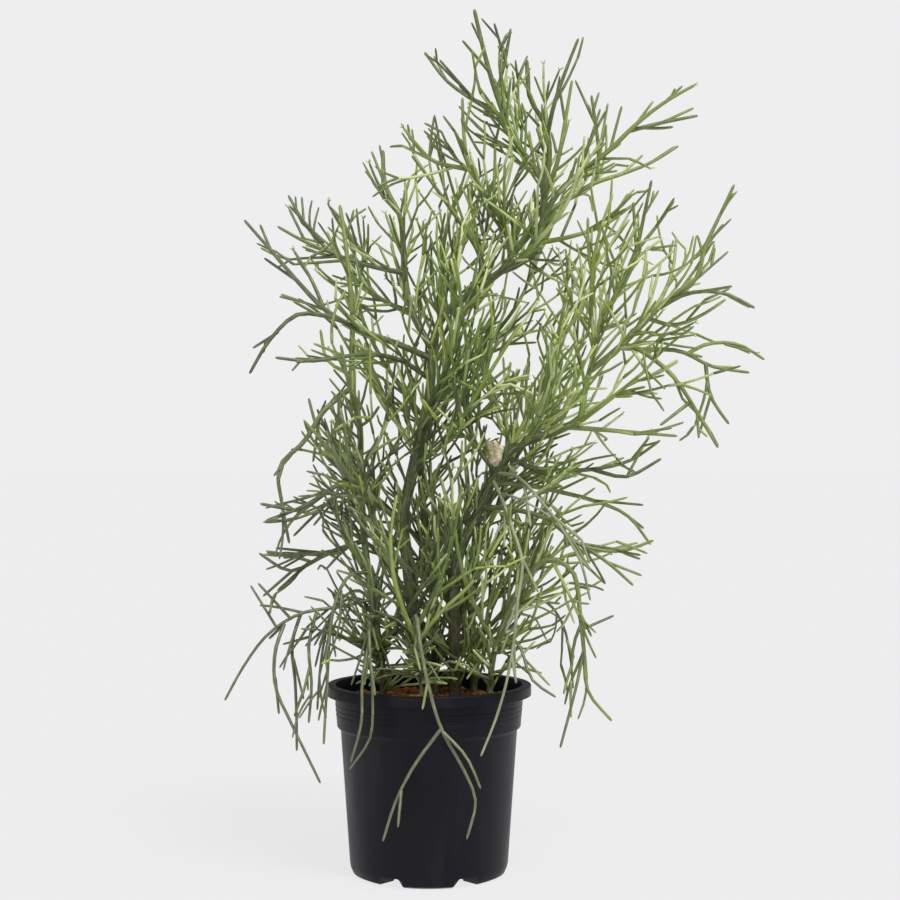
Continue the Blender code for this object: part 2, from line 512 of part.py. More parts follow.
class Plant:
    """Grows every stem's twigs in the same order each time, from the routes and a fixed seed."""

    def __init__(self):
        self.room = Room()
        self.draw = random.Random(SEED)
        self.twigs = []

    def lay_limbs(self, stem):
        """Lay a stem's limbs along their routes and return them."""
        foot_x, foot_y = (value * MM for value in STEM_FEET[stem])
        laid = []
        for limb in LIMBS[stem]:
            route = [placed(point) for point in limb.route]
            radii = (limb.start_radius * MM, limb.tip_radius * MM)
            if laid:
                route[0] = min((point for twig in laid for point, _, _ in walk(twig.line, BALL_SPACING)),
                               key=lambda point: (point - route[0]).length)
                line = bent_clear(self.room, stem, route, radii)
            else:
                foot = Vector((foot_x, foot_y, STEM_STRAIGHT_TOP))
                line = even_line(smooth_line([foot, *route], SMOOTH_STEPS), LIMB_SECTION)
                line.insert(0, Vector((foot_x, foot_y, SOIL_EDGE_HEIGHT - HOLE_DEPTH + HOLE_GAP)))
            sides = LIMB_SIDES if limb.start_radius > THIN_LIMB_RADIUS else SHOOT_SIDES
            twig = Twig(stem, line, tapered(line, *radii), sides, limb.habit)
            self.room.take(stem, line, radii)
            laid.append(twig)
        self.twigs.extend(laid)
        return laid

    def add_shoot(self, parent, start, turn, angle, length, thickness, habit):
        """Grow one shoot off its parent, at the first of a few turns where there is room for it."""
        draw = self.draw
        point, parent_heading = start
        for _ in range(SHOOT_TRIES):
            sections = max(1, round(length / SHOOT_SECTION))
            heading = side_heading(parent_heading, turn, angle)
            line = [point]
            for _ in range(sections):
                sway = Vector([draw.uniform(-SHOOT_SWAY, SHOOT_SWAY) for _ in range(3)])
                heading = (heading + sway + UP * habit.lift).normalized()
                line.append(line[-1] + heading * (length / sections))
            radii = (thickness, thickness * SHOOT_TIP_SHARE)
            if self.fits(parent.stem, line, radii):
                ring_radii = tapered(line, *radii)
                ring_radii[0] *= SHOOT_ROOT_SHARE
                twig = Twig(parent.stem, line, ring_radii, SHOOT_SIDES, parent.habit)
                self.room.take(parent.stem, line, radii)
                self.twigs.append(twig)
                return twig
            turn += GOLDEN_TURN
            length *= RETRY_LENGTH_SHARE
        return None

    def fits(self, stem, line, radii):
        """True where a new twig keeps inside the outline and clear of the pot and the other twigs."""
        if not within_outline(line[-1]) or meets_pot(line, radii):
            return False
        return not self.room.clash(stem, line, radii)

    def add_shoots(self, limb):
        """Set shoots along a limb at golden turns, each with its forks."""
        draw = self.draw
        habit = HABITS[limb.habit]
        turn = draw.uniform(0.0, math.tau)
        for point, heading, share in list(walk(limb.line, habit.spacing))[1:-1]:
            turn += GOLDEN_TURN + draw.uniform(-TURN_SPREAD, TURN_SPREAD)
            angle = math.radians(draw.uniform(*habit.angle)) * between(1.0, END_ANGLE_SHARE, share)
            length = draw.uniform(habit.shortest, habit.longest)
            length *= between(START_LENGTH_SHARE, END_LENGTH_SHARE, share)
            thickness = draw.uniform(*SHOOT_RADII)
            forks = draw.random() < habit.forks
            if point.z < LOWEST_SHOOT:
                continue
            shoot = self.add_shoot(limb, (point, heading), turn, angle, length, thickness, habit)
            if shoot and forks:
                self.add_fork(shoot, habit, length)

    def add_fork(self, shoot, habit, length):
        """Fork a shoot part way along it."""
        draw = self.draw
        points = list(walk(shoot.line, length / FORK_STEPS))
        point, heading, _ = points[draw.randint(*FORK_FROM_STEPS)]
        angle = math.radians(draw.uniform(*FORK_ANGLES))
        length *= draw.uniform(*FORK_LENGTH_SHARES)
        turn = draw.uniform(0.0, math.tau)
        self.add_shoot(shoot, (point, heading), turn, angle, length, FORK_RADIUS, habit)

    def grow(self):
        limbs = [twig for stem in LIMBS for twig in self.lay_limbs(stem)]
        for limb in limbs:
            self.add_shoots(limb)
        return self.twigs


def clear_scene():
    for obj in list(bpy.data.objects):
        bpy.data.objects.remove(obj)


def make_material(name, colour, roughness):
    material = bpy.data.materials.new(name)
    material.use_nodes = True
    surface = material.node_tree.nodes["Principled BSDF"]
    surface.inputs["Base Color"].default_value = colour
    surface.inputs["Roughness"].default_value = roughness
    surface.inputs["Metallic"].default_value = 0.0
    return material


def make_object(name, bm, material=None):
    mesh = bpy.data.meshes.new(name)
    bm.to_mesh(mesh)
    bm.free()
    obj = bpy.data.objects.new(name, mesh)
    bpy.context.scene.collection.objects.link(obj)
    if material:
        mesh.materials.append(material)
    return obj


def settle(obj):
    """Replace an object's mesh by what its modifiers make of it."""
    depsgraph = bpy.context.evaluated_depsgraph_get()
    mesh = bpy.data.meshes.new_from_object(obj.evaluated_get(depsgraph))
    obj.modifiers.clear()
    obj.data = mesh


def combine(obj, parts, operation, solver="EXACT"):
    """Join a collection's objects to an object, or cut them from it, and remove them."""
    collection = bpy.data.collections.new(obj.name + "_parts")
    bpy.context.scene.collection.children.link(collection)
    for part in parts:
        bpy.context.scene.collection.objects.unlink(part)
        collection.objects.link(part)
    boolean = obj.modifiers.new("combine", "BOOLEAN")
    boolean.operation = operation
    boolean.operand_type = "COLLECTION"
    boolean.collection = collection
    boolean.solver = solver
    settle(obj)
    for part in parts:
        bpy.data.objects.remove(part)
    bpy.data.collections.remove(collection)


def turned(profile, sides):
    """Turn a profile of (radius, height) pairs, closed at the axis, once round the Z axis."""
    bm = bmesh.new()
    verts = [bm.verts.new((0.0, -radius, height)) for radius, height in profile]
    edges = [bm.edges.new(pair) for pair in zip(verts, verts[1:])]
    bmesh.ops.spin(bm, geom=verts + edges, axis=UP, cent=(0, 0, 0), angle=math.tau, steps=sides)
    bmesh.ops.remove_doubles(bm, verts=bm.verts, dist=MERGE_DISTANCE)
    bmesh.ops.recalc_face_normals(bm, faces=bm.faces)
    return bm


def lift_between_feet(bm, floor, reach):
    """Lift the low outer ring of a turned base up to its raised floor, except at the six feet."""
    for vert in bm.verts:
        out = math.hypot(vert.co.x, vert.co.y)
        if out > FOOT_INNER_RADIUS - FLANK and vert.co.z < floor:
            around = math.atan2(vert.co.x, -vert.co.y)
            from_notch = around % (math.tau / FEET) - math.pi / FEET
            if abs(from_notch) < reach:
                vert.co.z = floor


def make_body():
    """The pot's outer form, solid: base disc and feet, tapered body, band and lip."""
    lip_under = POT_HEIGHT - LIP_WALL
    skirt_foot = POT_HEIGHT - LIP_DEPTH
    bm = turned([
        (0.0, 0.0),
        (DISC_RADIUS, 0.0),
        (DISC_RADIUS + FLANK, BASE_RISE),
        (FOOT_INNER_RADIUS - FLANK, BASE_RISE),
        (FOOT_INNER_RADIUS, 0.0),
        (FOOT_OUTER_RADIUS, 0.0),
        (FOOT_ROUND_RADIUS, FOOT_ROUND_HEIGHT),
        (BODY_FOOT_RADIUS, BODY_FOOT_HEIGHT),
        (BODY_TOP_RADIUS, BODY_TOP_HEIGHT),
        (BAND_FOOT_RADIUS, BAND_FOOT_HEIGHT),
        (BAND_TOP_RADIUS, lip_under),
        (LIP_RADIUS - LIP_WALL, lip_under),
        (LIP_RADIUS - LIP_WALL, skirt_foot),
        (LIP_RADIUS, skirt_foot),
        (LIP_RADIUS, lip_under),
        (LIP_RADIUS - LIP_WALL, POT_HEIGHT),
        (0.0, POT_HEIGHT),
    ], POT_SIDES)
    lift_between_feet(bm, BASE_RISE, NOTCH_REACH)
    return bm


def make_filling(sides, gap, top, floor):
    """What fits inside the pot's walls, less a gap: floor and top are the profile's two ends."""
    shift = WALL + gap
    return turned([
        (0.0, shift),
        (DISC_RADIUS - shift, shift),
        (DISC_RADIUS + FLANK - shift, BASE_RISE + shift),
        *floor,
        (BODY_TOP_RADIUS - shift, BODY_TOP_HEIGHT - shift),
        (BAND_FOOT_RADIUS - shift, BAND_FOOT_HEIGHT),
        *top,
    ], sides)


def make_pot():
    """The nursery pot: its outer form with the inside cut out."""
    pot = make_object("pot", make_body(), make_material("pot_plastic", POT_COLOUR, POT_ROUGHNESS))
    mouth = BAND_TOP_RADIUS - WALL
    top = [(mouth, POT_HEIGHT + LIP_WALL), (0.0, POT_HEIGHT + LIP_WALL)]
    hollow_feet = [
        (FOOT_INNER_RADIUS - FLANK + WALL, BASE_RISE + WALL),
        (FOOT_INNER_RADIUS + WALL, WALL),
        (FOOT_OUTER_RADIUS, WALL),
        (BODY_FOOT_RADIUS - WALL, BODY_FOOT_HEIGHT + WALL),
    ]
    inside = make_filling(POT_SIDES, 0.0, top, hollow_feet)
    lift_between_feet(inside, BASE_RISE + WALL, HOLLOW_REACH)
    combine(pot, [make_object("pot_inside", inside)], "DIFFERENCE")
    finish(pot, smooth=True)


def make_soil():
    """The potting mix, gently mounded, with a plain hole for each stem. It stays above the hollow feet."""
    slope = (BAND_TOP_RADIUS - BAND_FOOT_RADIUS) / (POT_HEIGHT - BAND_FOOT_HEIGHT)
    edge_radius = BAND_FOOT_RADIUS + slope * (SOIL_EDGE_HEIGHT - BAND_FOOT_HEIGHT) - WALL - SOIL_GAP
    top = []
    for ring in range(SOIL_RINGS + 1):
        share = ring / SOIL_RINGS
        top.append((edge_radius * (1.0 - share),
                    SOIL_EDGE_HEIGHT + SOIL_MOUND * math.sin(share * math.pi / 2)))
    floor_edge = (BODY_FOOT_RADIUS - WALL - SOIL_GAP, BASE_RISE + WALL + SOIL_GAP)
    bm = make_filling(SOIL_SIDES, SOIL_GAP, top, [floor_edge])
    soil = make_object("soil", bm, make_material("potting_mix", SOIL_COLOUR, SOIL_ROUGHNESS))
    combine(soil, [make_hole(stem) for stem in LIMBS], "DIFFERENCE")
    finish(soil)


def make_hole(stem):
    """The cutter for the plain hole that a stem stands in."""
    stem_radius = LIMBS[stem][0].start_radius * MM * corner_factor(LIMB_SIDES)
    radius = (stem_radius + HOLE_GAP) / math.cos(math.pi / HOLE_SIDES)
    foot = SOIL_EDGE_HEIGHT - HOLE_DEPTH
    top = POT_HEIGHT
    x, y = (value * MM for value in STEM_FEET[stem])
    bm = bmesh.new()
    bmesh.ops.create_cone(bm, cap_ends=True, segments=HOLE_SIDES, radius1=radius, radius2=radius,
                          depth=top - foot, matrix=Matrix.Translation((x, y, (top + foot) / 2)))
    return make_object(stem + "_hole", bm)


def corner_factor(sides):
    """How far a tube's corners stand out, for it to look as wide as a round one on the average."""
    return math.pi / (sides * math.sin(math.pi / sides))


def make_tube(line, radii, sides):
    """A closed tube: a disc at the root, with its face drawn out from point to point."""
    headings = [(b - a).normalized() for a, b in zip(line, line[1:])]
    headings = [headings[0], *((a + b).normalized() for a, b in zip(headings, headings[1:])), headings[-1]]
    bm = bmesh.new()
    root = Matrix.Translation(line[0]) @ headings[0].to_track_quat("Z", "Y").to_matrix().to_4x4()
    bmesh.ops.create_circle(bm, cap_ends=True, radius=radii[0] * corner_factor(sides), segments=sides,
                            matrix=root)
    end = list(bm.faces)
    for index in range(1, len(line)):
        drawn = bmesh.ops.extrude_face_region(bm, geom=end)
        if index > 1:
            bmesh.ops.delete(bm, geom=end, context="FACES_ONLY")
        end = [item for item in drawn["geom"] if isinstance(item, bmesh.types.BMFace)]
        verts = [item for item in drawn["geom"] if isinstance(item, bmesh.types.BMVert)]
        turn = headings[index - 1].rotation_difference(headings[index]).to_matrix().to_4x4()
        size = Matrix.Scale(radii[index] / radii[index - 1], 4)
        bmesh.ops.transform(bm, verts=verts, matrix=Matrix.Translation(line[index]) @ turn @ size
                            @ Matrix.Translation(-line[index - 1]))
    bmesh.ops.recalc_face_normals(bm, faces=bm.faces)
    return bm


def make_knot():
    """The woody swelling on the right-hand stem."""
    bm = bmesh.new()
    place = Matrix.Translation(placed(KNOT_PLACE)) @ Matrix.Diagonal(KNOT_SIZE).to_4x4()
    bmesh.ops.create_icosphere(bm, subdivisions=KNOT_DETAIL, radius=1.0, matrix=place)
    return make_object("knot", bm)


def islands(bm):
    """The separate connected bodies of a mesh, as lists of vertices."""
    left = set(bm.verts)
    found = []
    while left:
        body = []
        edge = [left.pop()]
        while edge:
            vert = edge.pop()
            body.append(vert)
            for link in vert.link_edges:
                other = link.other_vert(vert)
                if other in left:
                    left.remove(other)
                    edge.append(other)
        found.append(body)
    return found


def finish(obj, smooth=False):
    """Keep the largest body, which fills sealed hollows and drops scraps, and set the shading."""
    bm = bmesh.new()
    bm.from_mesh(obj.data)
    bodies = sorted(islands(bm), key=len)
    scraps = [vert for body in bodies[:-1] for vert in body]
    bmesh.ops.delete(bm, geom=scraps, context="VERTS")
    bm.to_mesh(obj.data)
    bm.free()
    if smooth:
        obj.data.shade_smooth()
        obj.data.set_sharp_from_angle(angle=SMOOTH_ANGLE)


def make_stem(stem, twigs):
    """One stem with all its twigs, as one body."""
    tubes = [make_object(f"{stem}_{index}", make_tube(twig.line, twig.radii, twig.sides))
             for index, twig in enumerate(twigs)]
    if stem == KNOT_STEM:
        tubes.append(make_knot())
    body = tubes[0]
    body.name = stem
    combine(body, tubes[1:], "UNION", "MANIFOLD")
    body.data.materials.clear()
    body.data.materials.append(make_material(stem + "_green", STEM_COLOURS[stem], STEM_ROUGHNESS))
    finish(body, smooth=True)


def main():
    clear_scene()
    make_pot()
    make_soil()
    twigs = Plant().grow()
    for stem in LIMBS:
        make_stem(stem, [twig for twig in twigs if twig.stem == stem])


main()
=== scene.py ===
"""Potted pencil cactus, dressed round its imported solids.

Metres, +Z up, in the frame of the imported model. The twigs of the solids are grown again by the rule
that made them, with the same routes and seed, and are drawn out finely. A second growth then adds
the rest of the twigs. The pot, the soil, the bark chips, the knot and the leaves are modelled too.
"""

import math
import random
from collections import namedtuple

import bmesh
import bpy
from mathutils import Matrix, Quaternion, Vector, noise
from mathutils.geometry import intersect_point_line


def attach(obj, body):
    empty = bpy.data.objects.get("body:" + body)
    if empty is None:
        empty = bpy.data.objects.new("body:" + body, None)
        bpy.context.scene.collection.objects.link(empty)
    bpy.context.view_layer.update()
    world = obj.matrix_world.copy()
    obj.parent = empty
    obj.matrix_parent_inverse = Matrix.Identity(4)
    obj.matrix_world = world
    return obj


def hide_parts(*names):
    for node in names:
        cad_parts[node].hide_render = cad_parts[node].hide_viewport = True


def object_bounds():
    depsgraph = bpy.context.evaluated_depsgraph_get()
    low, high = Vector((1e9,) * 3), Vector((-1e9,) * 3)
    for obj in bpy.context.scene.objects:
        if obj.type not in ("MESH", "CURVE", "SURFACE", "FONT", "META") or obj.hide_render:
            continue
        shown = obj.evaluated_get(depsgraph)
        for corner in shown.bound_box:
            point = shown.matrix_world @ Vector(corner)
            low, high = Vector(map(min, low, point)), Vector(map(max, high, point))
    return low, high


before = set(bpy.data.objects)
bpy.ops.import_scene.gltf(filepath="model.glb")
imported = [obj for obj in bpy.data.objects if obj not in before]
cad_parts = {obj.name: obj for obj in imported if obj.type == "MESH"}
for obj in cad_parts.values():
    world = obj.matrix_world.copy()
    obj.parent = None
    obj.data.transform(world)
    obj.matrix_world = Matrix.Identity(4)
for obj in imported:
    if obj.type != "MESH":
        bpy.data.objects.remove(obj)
cad_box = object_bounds()

MM = 0.001
UP = Vector((0.0, 0.0, 1.0))

# Pot
POT_HEIGHT = 0.175
LIP_RADIUS = 0.095
LIP_DEPTH = 0.010
LIP_WALL = 0.0016
BAND_TOP_RADIUS = 0.0882
BAND_FOOT_RADIUS = 0.0852
BAND_FOOT_HEIGHT = 0.136
BODY_TOP_RADIUS = 0.0820
BODY_TOP_HEIGHT = 0.134
BODY_FOOT_RADIUS = 0.0732
BODY_FOOT_HEIGHT = 0.0075
WALL = 0.0015
MERGE_DISTANCE = 0.00005
SMOOTH_ANGLE = math.radians(30.0)

# Pot base: a middle disc and six feet touch the floor, and the rest is raised
BASE_RISE = 0.009
DISC_RADIUS = 0.022
FOOT_INNER_RADIUS = 0.048
FOOT_OUTER_RADIUS = 0.066
FOOT_ROUND_RADIUS = 0.0708
FOOT_ROUND_HEIGHT = 0.0021
FLANK = 0.0024
FEET = 6
NOTCH_REACH = math.radians(8.0)

# Soil
SOIL_EDGE_HEIGHT = 0.159
SOIL_MOUND = 0.004
SOIL_GAP = 0.0003
HOLE_DEPTH = 0.032
HOLE_GAP = 0.0004

# The viewer in front, from whose place the routes were laid out
VIEWER_X = 0.0195
VIEWER_HEIGHT = 0.392
VIEWER_DISTANCE = 1.652

# Limbs: the main branches, whose routes are given
STEM_STRAIGHT_TOP = 0.168
LIMB_SECTION = 0.034
SMOOTH_STEPS = 4
BEND_TRIES = 60
BEND_REACH = 0.030

# Shoots: the twigs that a seeded rule sets along the limbs, and their forks
SEED = 11
LOWEST_SHOOT = 0.188
GOLDEN_TURN = math.radians(137.5)
TURN_SPREAD = 0.4
SHOOT_RADII = (0.0016, 0.0019)
SHOOT_SECTION = 0.034
SHOOT_ROOT_SHARE = 0.6
SHOOT_TIP_SHARE = 0.8
SHOOT_POINTS = 3
SHOOT_SWAY = 0.12
SHOOT_TRIES = 3
RETRY_LENGTH_SHARE = 0.8
START_LENGTH_SHARE = 1.15
END_LENGTH_SHARE = 0.50
END_ANGLE_SHARE = 0.70
NEARLY_UPRIGHT = 0.1
FORK_RADIUS = 0.0015
FORK_ANGLES = (30, 50)
FORK_LENGTH_SHARES = (0.45, 0.75)
FORK_STEPS = 10
FORK_FROM_STEPS = (4, 6)

# Room kept between twigs, which are followed as rows of balls sorted into a grid of cells
BALL_SPACING = 0.0025
CELL = 0.018
OTHER_STEM_GAP = 0.0016
OWN_STEM_GAP = 0.0006
JUNCTION_REACH = 0.014
LOWEST_TIP = 0.026

Limb = namedtuple("Limb", "habit start_radius tip_radius route")
Habit = namedtuple("Habit", "spacing shortest longest angle lift forks")
Twig = namedtuple("Twig", "stem line radii habit")

# How shoots grow on each kind of limb: metres, degrees off the limb, upward pull and forks each
HABITS = {
    "trunk": Habit(0.036, 0.046, 0.080, (34, 56), 0.20, 0.6),
    "crown": Habit(0.033, 0.038, 0.074, (22, 40), 0.22, 0.35),
    "side": Habit(0.036, 0.032, 0.066, (26, 46), 0.12, 0.30),
    "arch": Habit(0.040, 0.024, 0.048, (24, 46), 0.02, 0.25),
    "droop": Habit(0.048, 0.022, 0.046, (18, 36), -0.26, 0.15),
}

# Fine growth: the twigs that the solids leave out, in waves. Each wave lists how far apart its twigs
# start, the share of starts that grow, and their lengths, angles off the parent and root radii.
FINE_SEED = 29
FINE_SECTION = 0.012
FINE_SWAY = 0.05
FINE_BOW = 0.13
FINE_TRIES = 5
FINE_TIP_SHARE = 0.80
FINE_GAPS = (0.0006, 0.0003)
LOWEST_FINE_START = 0.168
RETRY_SHRINK = 0.85
Wave = namedtuple("Wave", "spacing grows lengths angles radii")
LIMB_WAVE = Wave(0.0135, 0.74, (0.034, 0.086), (15, 42), (0.00145, 0.00185))
SHOOT_WAVE = Wave(0.0190, 0.60, (0.022, 0.054), (15, 38), (0.00140, 0.00170))
FORK_WAVE = Wave(None, 0.70, (0.022, 0.050), (14, 34), (0.00138, 0.00160))
TIP_WAVE = Wave(None, 0.36, (0.014, 0.034), (14, 36), (0.00130, 0.00150))
THICKET_WAVE = Wave(0.0060, 0.85, (0.016, 0.050), (30, 80), (0.00150, 0.00180))
LOW_LIFT = 1.25
LIFT_SPREAD = 0.16
LIFT_HEIGHTS = (0.30, 0.55)
FORK_BACK = 0.0020

# Fine twigs end within the solids' box and a margin. In depth that box is drawn in by an uneven
# ease, so that the plant's front and back aren't flat.
BOX_MARGIN = 0.004
DEPTH_EASE = 0.020
DEPTH_EASE_WAVE = 2.0
DEPTH_WAVE_SCALE = 16.0

# The pot's front stays in sight: its top and sides in millimetres, as the viewer sees them, and the
# depth in metres in front of which no fine twig crosses it. A twig is tested at steps of this length.
POT_FACE_TOP = 172
POT_FACE_SIDES = (-84, 112)
POT_FACE_DEPTH = -0.022
SIGHT_STEP = 0.004

# How thickly twigs grow, at the plant's outline and this far inside it, as the viewer sees it
FULL_GROWTH_INSET = 55
EDGE_GROWTH = 0.03
HEART_GROWTH = 1.55
LIMB_END_GROWTH = 0.28
LIMB_END_LENGTH = 0.55
FORK_GROWTH = 1.2
HABIT_GROWTH = {"droop": 0.16, "arch": 0.45}

# Places that are fuller or barer than the rest: x, z and reach in millimetres, as the viewer sees
# them, and how much more or less grows there. They were chosen after comparisons of a render with the
# photograph, cell by cell.
GROWTH_PLACES = [
    (112, 535, 62, 1.5), (72, 405, 44, 1.4), (150, 380, 42, 0.5), (-92, 575, 70, 0.5),
    (-128, 330, 60, 0.6), (60, 745, 50, 0.7), (185, 690, 62, 0.45), (-105, 485, 50, 0.5),
    (80, 660, 95, 0.7), (187, 615, 42, 0.5), (135, 595, 30, 0.45), (186, 486, 34, 1.2),
    (235, 510, 45, 0.5), (-46, 488, 26, 0.5), (205, 380, 50, 0.6), (85, 662, 25, 0.6),
    (10, 624, 24, 0.5), (-8, 457, 25, 0.6), (47, 457, 18, 0.6), (160, 300, 66, 0.65),
    (47, 606, 30, 2.2), (122, 512, 24, 1.5), (178, 457, 25, 2.2), (196, 680, 18, 2.2),
    (-101, 308, 18, 2.0), (-64, 271, 20, 1.7), (47, 290, 24, 1.3), (-64, 588, 22, 1.8),
    (196, 569, 34, 0.4), (196, 531, 28, 0.5), (122, 606, 24, 0.4), (162, 606, 26, 0.6),
    (159, 680, 24, 0.5), (122, 717, 24, 0.5), (10, 606, 20, 0.5), (-101, 531, 24, 0.4),
    (159, 400, 30, 0.45), (-27, 569, 26, 2.4), (85, 531, 26, 2.2), (122, 234, 22, 2.2),
    (-101, 420, 22, 0.5), (122, 345, 20, 0.6),
]

# The low thicket over the soil, where more twigs start from each place
THICKET_TOP = 0.215
THICKET_REACH = 0.074
THICKET_STARTS = 2
LAST_THICKET_STARTS = 5
LAST_THICKET_STEMS = ("stem_left", "stem_front")

# The two main trunks stay in sight: most fine twigs that would pass well in front of them aren't grown
BARE_TRUNKS = ("stem_main", "stem_right")
BARE_TOP = 400
BARE_REACH = 7.5
BARE_DEPTH = 8.0
BARE_SHARE = 0.90

# How twigs are drawn out. They thin out over their last stretch.
LIMB_RING_SIDES = 10
TWIG_RING_SIDES = 6
LIMB_RADIUS_FROM = 0.0024
RING_SPACING = 0.0105
COLLAR_LENGTH = 0.0030
COLLAR_SHARE = 0.80
LIMB_THINNING_REACH = 0.090
DROOPER_THINNING_REACH = 0.260
SHOOT_THINNING_REACH = 0.030
THINNED_TIP = 0.84
DROOPER_SLIMNESS = 0.85
TIP_LENGTH = 0.0036
TIP_SHAPE = ((0.0, 1.0), (0.7, 0.78), (1.0, 0.30))
SHORTEST_END_SHARE = 0.3
CURVE_STEPS = 4

# The plant's heart, where the twigs are shaded, and its outline, near which they are greyer. An
# effect grows over a span of heights, places or radii, from nothing to its most.
Effect = namedtuple("Effect", "span most")
HEART_REACH = 0.11
HEART_LEAN = Effect((0.20, 0.75), 0.06)
LOW_SHADE = 0.25
SHADE_HEIGHTS = (0.18, 0.34)
EDGE_REACH = 30
EDGE_GREYNESS = 0.50
EDGE_DARKNESS = 0.20

# Freshness and painted light: where the greens are bright and yellow, partly from young growth in the
# crown and at the tips, and partly painted light, lighter at the top and the right where the key light
# falls and darker at the left
FRESH_LEAST = 0.24
UP_FRESHNESS_AND_LIGHT = Effect((0.32, 0.62), 0.36)
RIGHT_FRESHNESS_AND_LIGHT = Effect((0.02, 0.22), 0.20)
LEFT_AGE_AND_SHADE = Effect((-0.02, -0.14), -0.44)
FRESH_TIP = 0.13

# Lightness, from the least, from a twig's own tone, from freshness with its painted light, from painted
# shade, and on thick stems
LEAST_LIGHT = 0.15
TONE_LIGHT = 0.90
TONE_POWER = 1.5
FRESH_AND_PAINTED_LIGHT = 0.42
SHADE_DARKNESS = 0.38
THICK_RADII = (0.0020, 0.0042)
THICK_LIGHT = 0.25

# Greyness, from old growth to fresh. The shuffle lets it fall on other twigs than lightness does.
OLD_GREYNESS = 1.1
FRESH_GREYNESS = 0.06
AGE_SPAN = (0.06, 0.48)
GREY_SHUFFLE = 7.0

# Bark: the heights and radii over which a stem turns woody, and the trace of it at a joint
WOODY_HEIGHTS = (0.30, 0.20)
WOODY_RADII = (0.0024, 0.0044)
JOINT_WOOD = 0.21


# Colours, by their everyday 0 to 255 values
def colour(red, green, blue):
    """A colour as the linear light that a shader wants."""
    def linear(value):
        share = value / 255.0
        return share / 12.92 if share <= 0.04045 else ((share + 0.055) / 1.055) ** 2.4
    return (linear(red), linear(green), linear(blue), 1.0)


DEEP_GREEN = colour(52, 62, 36)
ASH_GREEN = colour(74, 84, 52)
MOSS_GREEN = colour(98, 120, 54)
FRESH_GREEN = colour(124, 148, 60)
YELLOW_GREEN = colour(158, 176, 82)
PALE_GREEN = colour(200, 212, 146)
LEAF_GREEN = colour(150, 180, 74)
GREY_GREEN = colour(97, 104, 80)
SAGE_GREEN = colour(146, 154, 120)
SCAR_BROWN = colour(104, 88, 58)
BARK_DARK = colour(50, 49, 33)
BARK_PALE = colour(94, 91, 64)
KNOT_TAN = colour(244, 232, 208)
KNOT_BROWN = colour(150, 138, 88)
POT_BLACK = colour(12, 11, 22)
POT_DUST = colour(84, 80, 78)
SOIL_DARK = colour(38, 26, 17)
SOIL_BROWN = colour(92, 58, 33)
CHIP_ORANGE = colour(232, 146, 78)
CHIP_BROWN = colour(122, 78, 46)
FLOOR_GREY = colour(74, 74, 74)

# Fine pot: faint rings on its band, and rounded edges
FINE_POT_SIDES = 96
LIP_ROUND = 0.0007
RING_LINE_HEIGHTS = (0.1475, 0.1520, 0.1565)
RING_LINE_RELIEF = 0.00025
RING_LINE_HALF_WIDTH = 0.0006
RING_LINE_FLAT = 0.4
BODY_RING_SHARES = (0.03, 0.99)
ROUND_NEAR = 0.3
ROUND_FAR = 1.4
LIP_FLAT_FROM = 0.0018
DISC_ROUND = 0.0006
DISC_ROUND_HEIGHT = 0.0005
BAND_ROUND = 0.0006
BAND_ROUND_HEIGHT = 0.0004
SKIRT_ROUND_INSIDE = 0.0003
SKIRT_ROUND_OUTSIDE = 0.0004

# Fine soil and its bark chips
FINE_SOIL_SIDES = 96
FINE_SOIL_RINGS = 34
CRUMB_HEIGHT = 0.0016
CRUMB_SHARE = 0.7
CRUMB_SCALE = 190.0
CRUMB_NOISE = (0.9, 2.1, 4)
LUMP_SCALE = 52.0
LUMP_LAYER = 3.0
CHIP_SEED = 5
CHIP_COUNT = 760
CHIP_SIZES = (0.0018, 0.0052)
CHIP_WIDTHS = (0.4, 0.8)
CHIP_DEPTHS = (0.2, 0.5)
CHIP_TILTS = (-0.5, 0.5)
CHIP_ROUGHNESS = 0.12
CHIP_RISE = 0.3
SMALL_CHIP_EVERY = 3
SMALL_CHIP_SHARE = 0.5

# Knot and leaves
KNOT_DETAIL = 4
KNOT_LUMPS = 0.42
KNOT_LUMP_SCALE = 1.5
KNOT_LUMP_PLACE = (9.0, 2.0, 3.0)
KNOT_GRAIN = 0.11
KNOT_GRAIN_SCALE = 5.0
KNOT_GRAIN_NOISE = (0.8, 2.2, 3)
LEAF_SEED = 17
LEAF_LENGTHS = (0.0035, 0.0065)
LEAF_COUNTS = (2, 3)
LEAF_ANGLES = (0.35, 0.75)
LEAF_SHAPE = (0.24, 0.10, 0.5)
LEAF_REACH = 0.45
LEAF_SINK = 0.0006
LEAFY_SHARE = 0.10
LEAVES_FROM_HEIGHT = 0.36

# Where each stem stands in the soil, in millimetres
STEM_FEET = {
    "stem_main": (5, 4),
    "stem_right": (24, -10),
    "stem_left": (-42, -14),
    "stem_front": (-6, -46),
    "stem_back": (4, 42),
    "stem_low_right": (56, -18),
    "stem_centre": (42, 24),
}
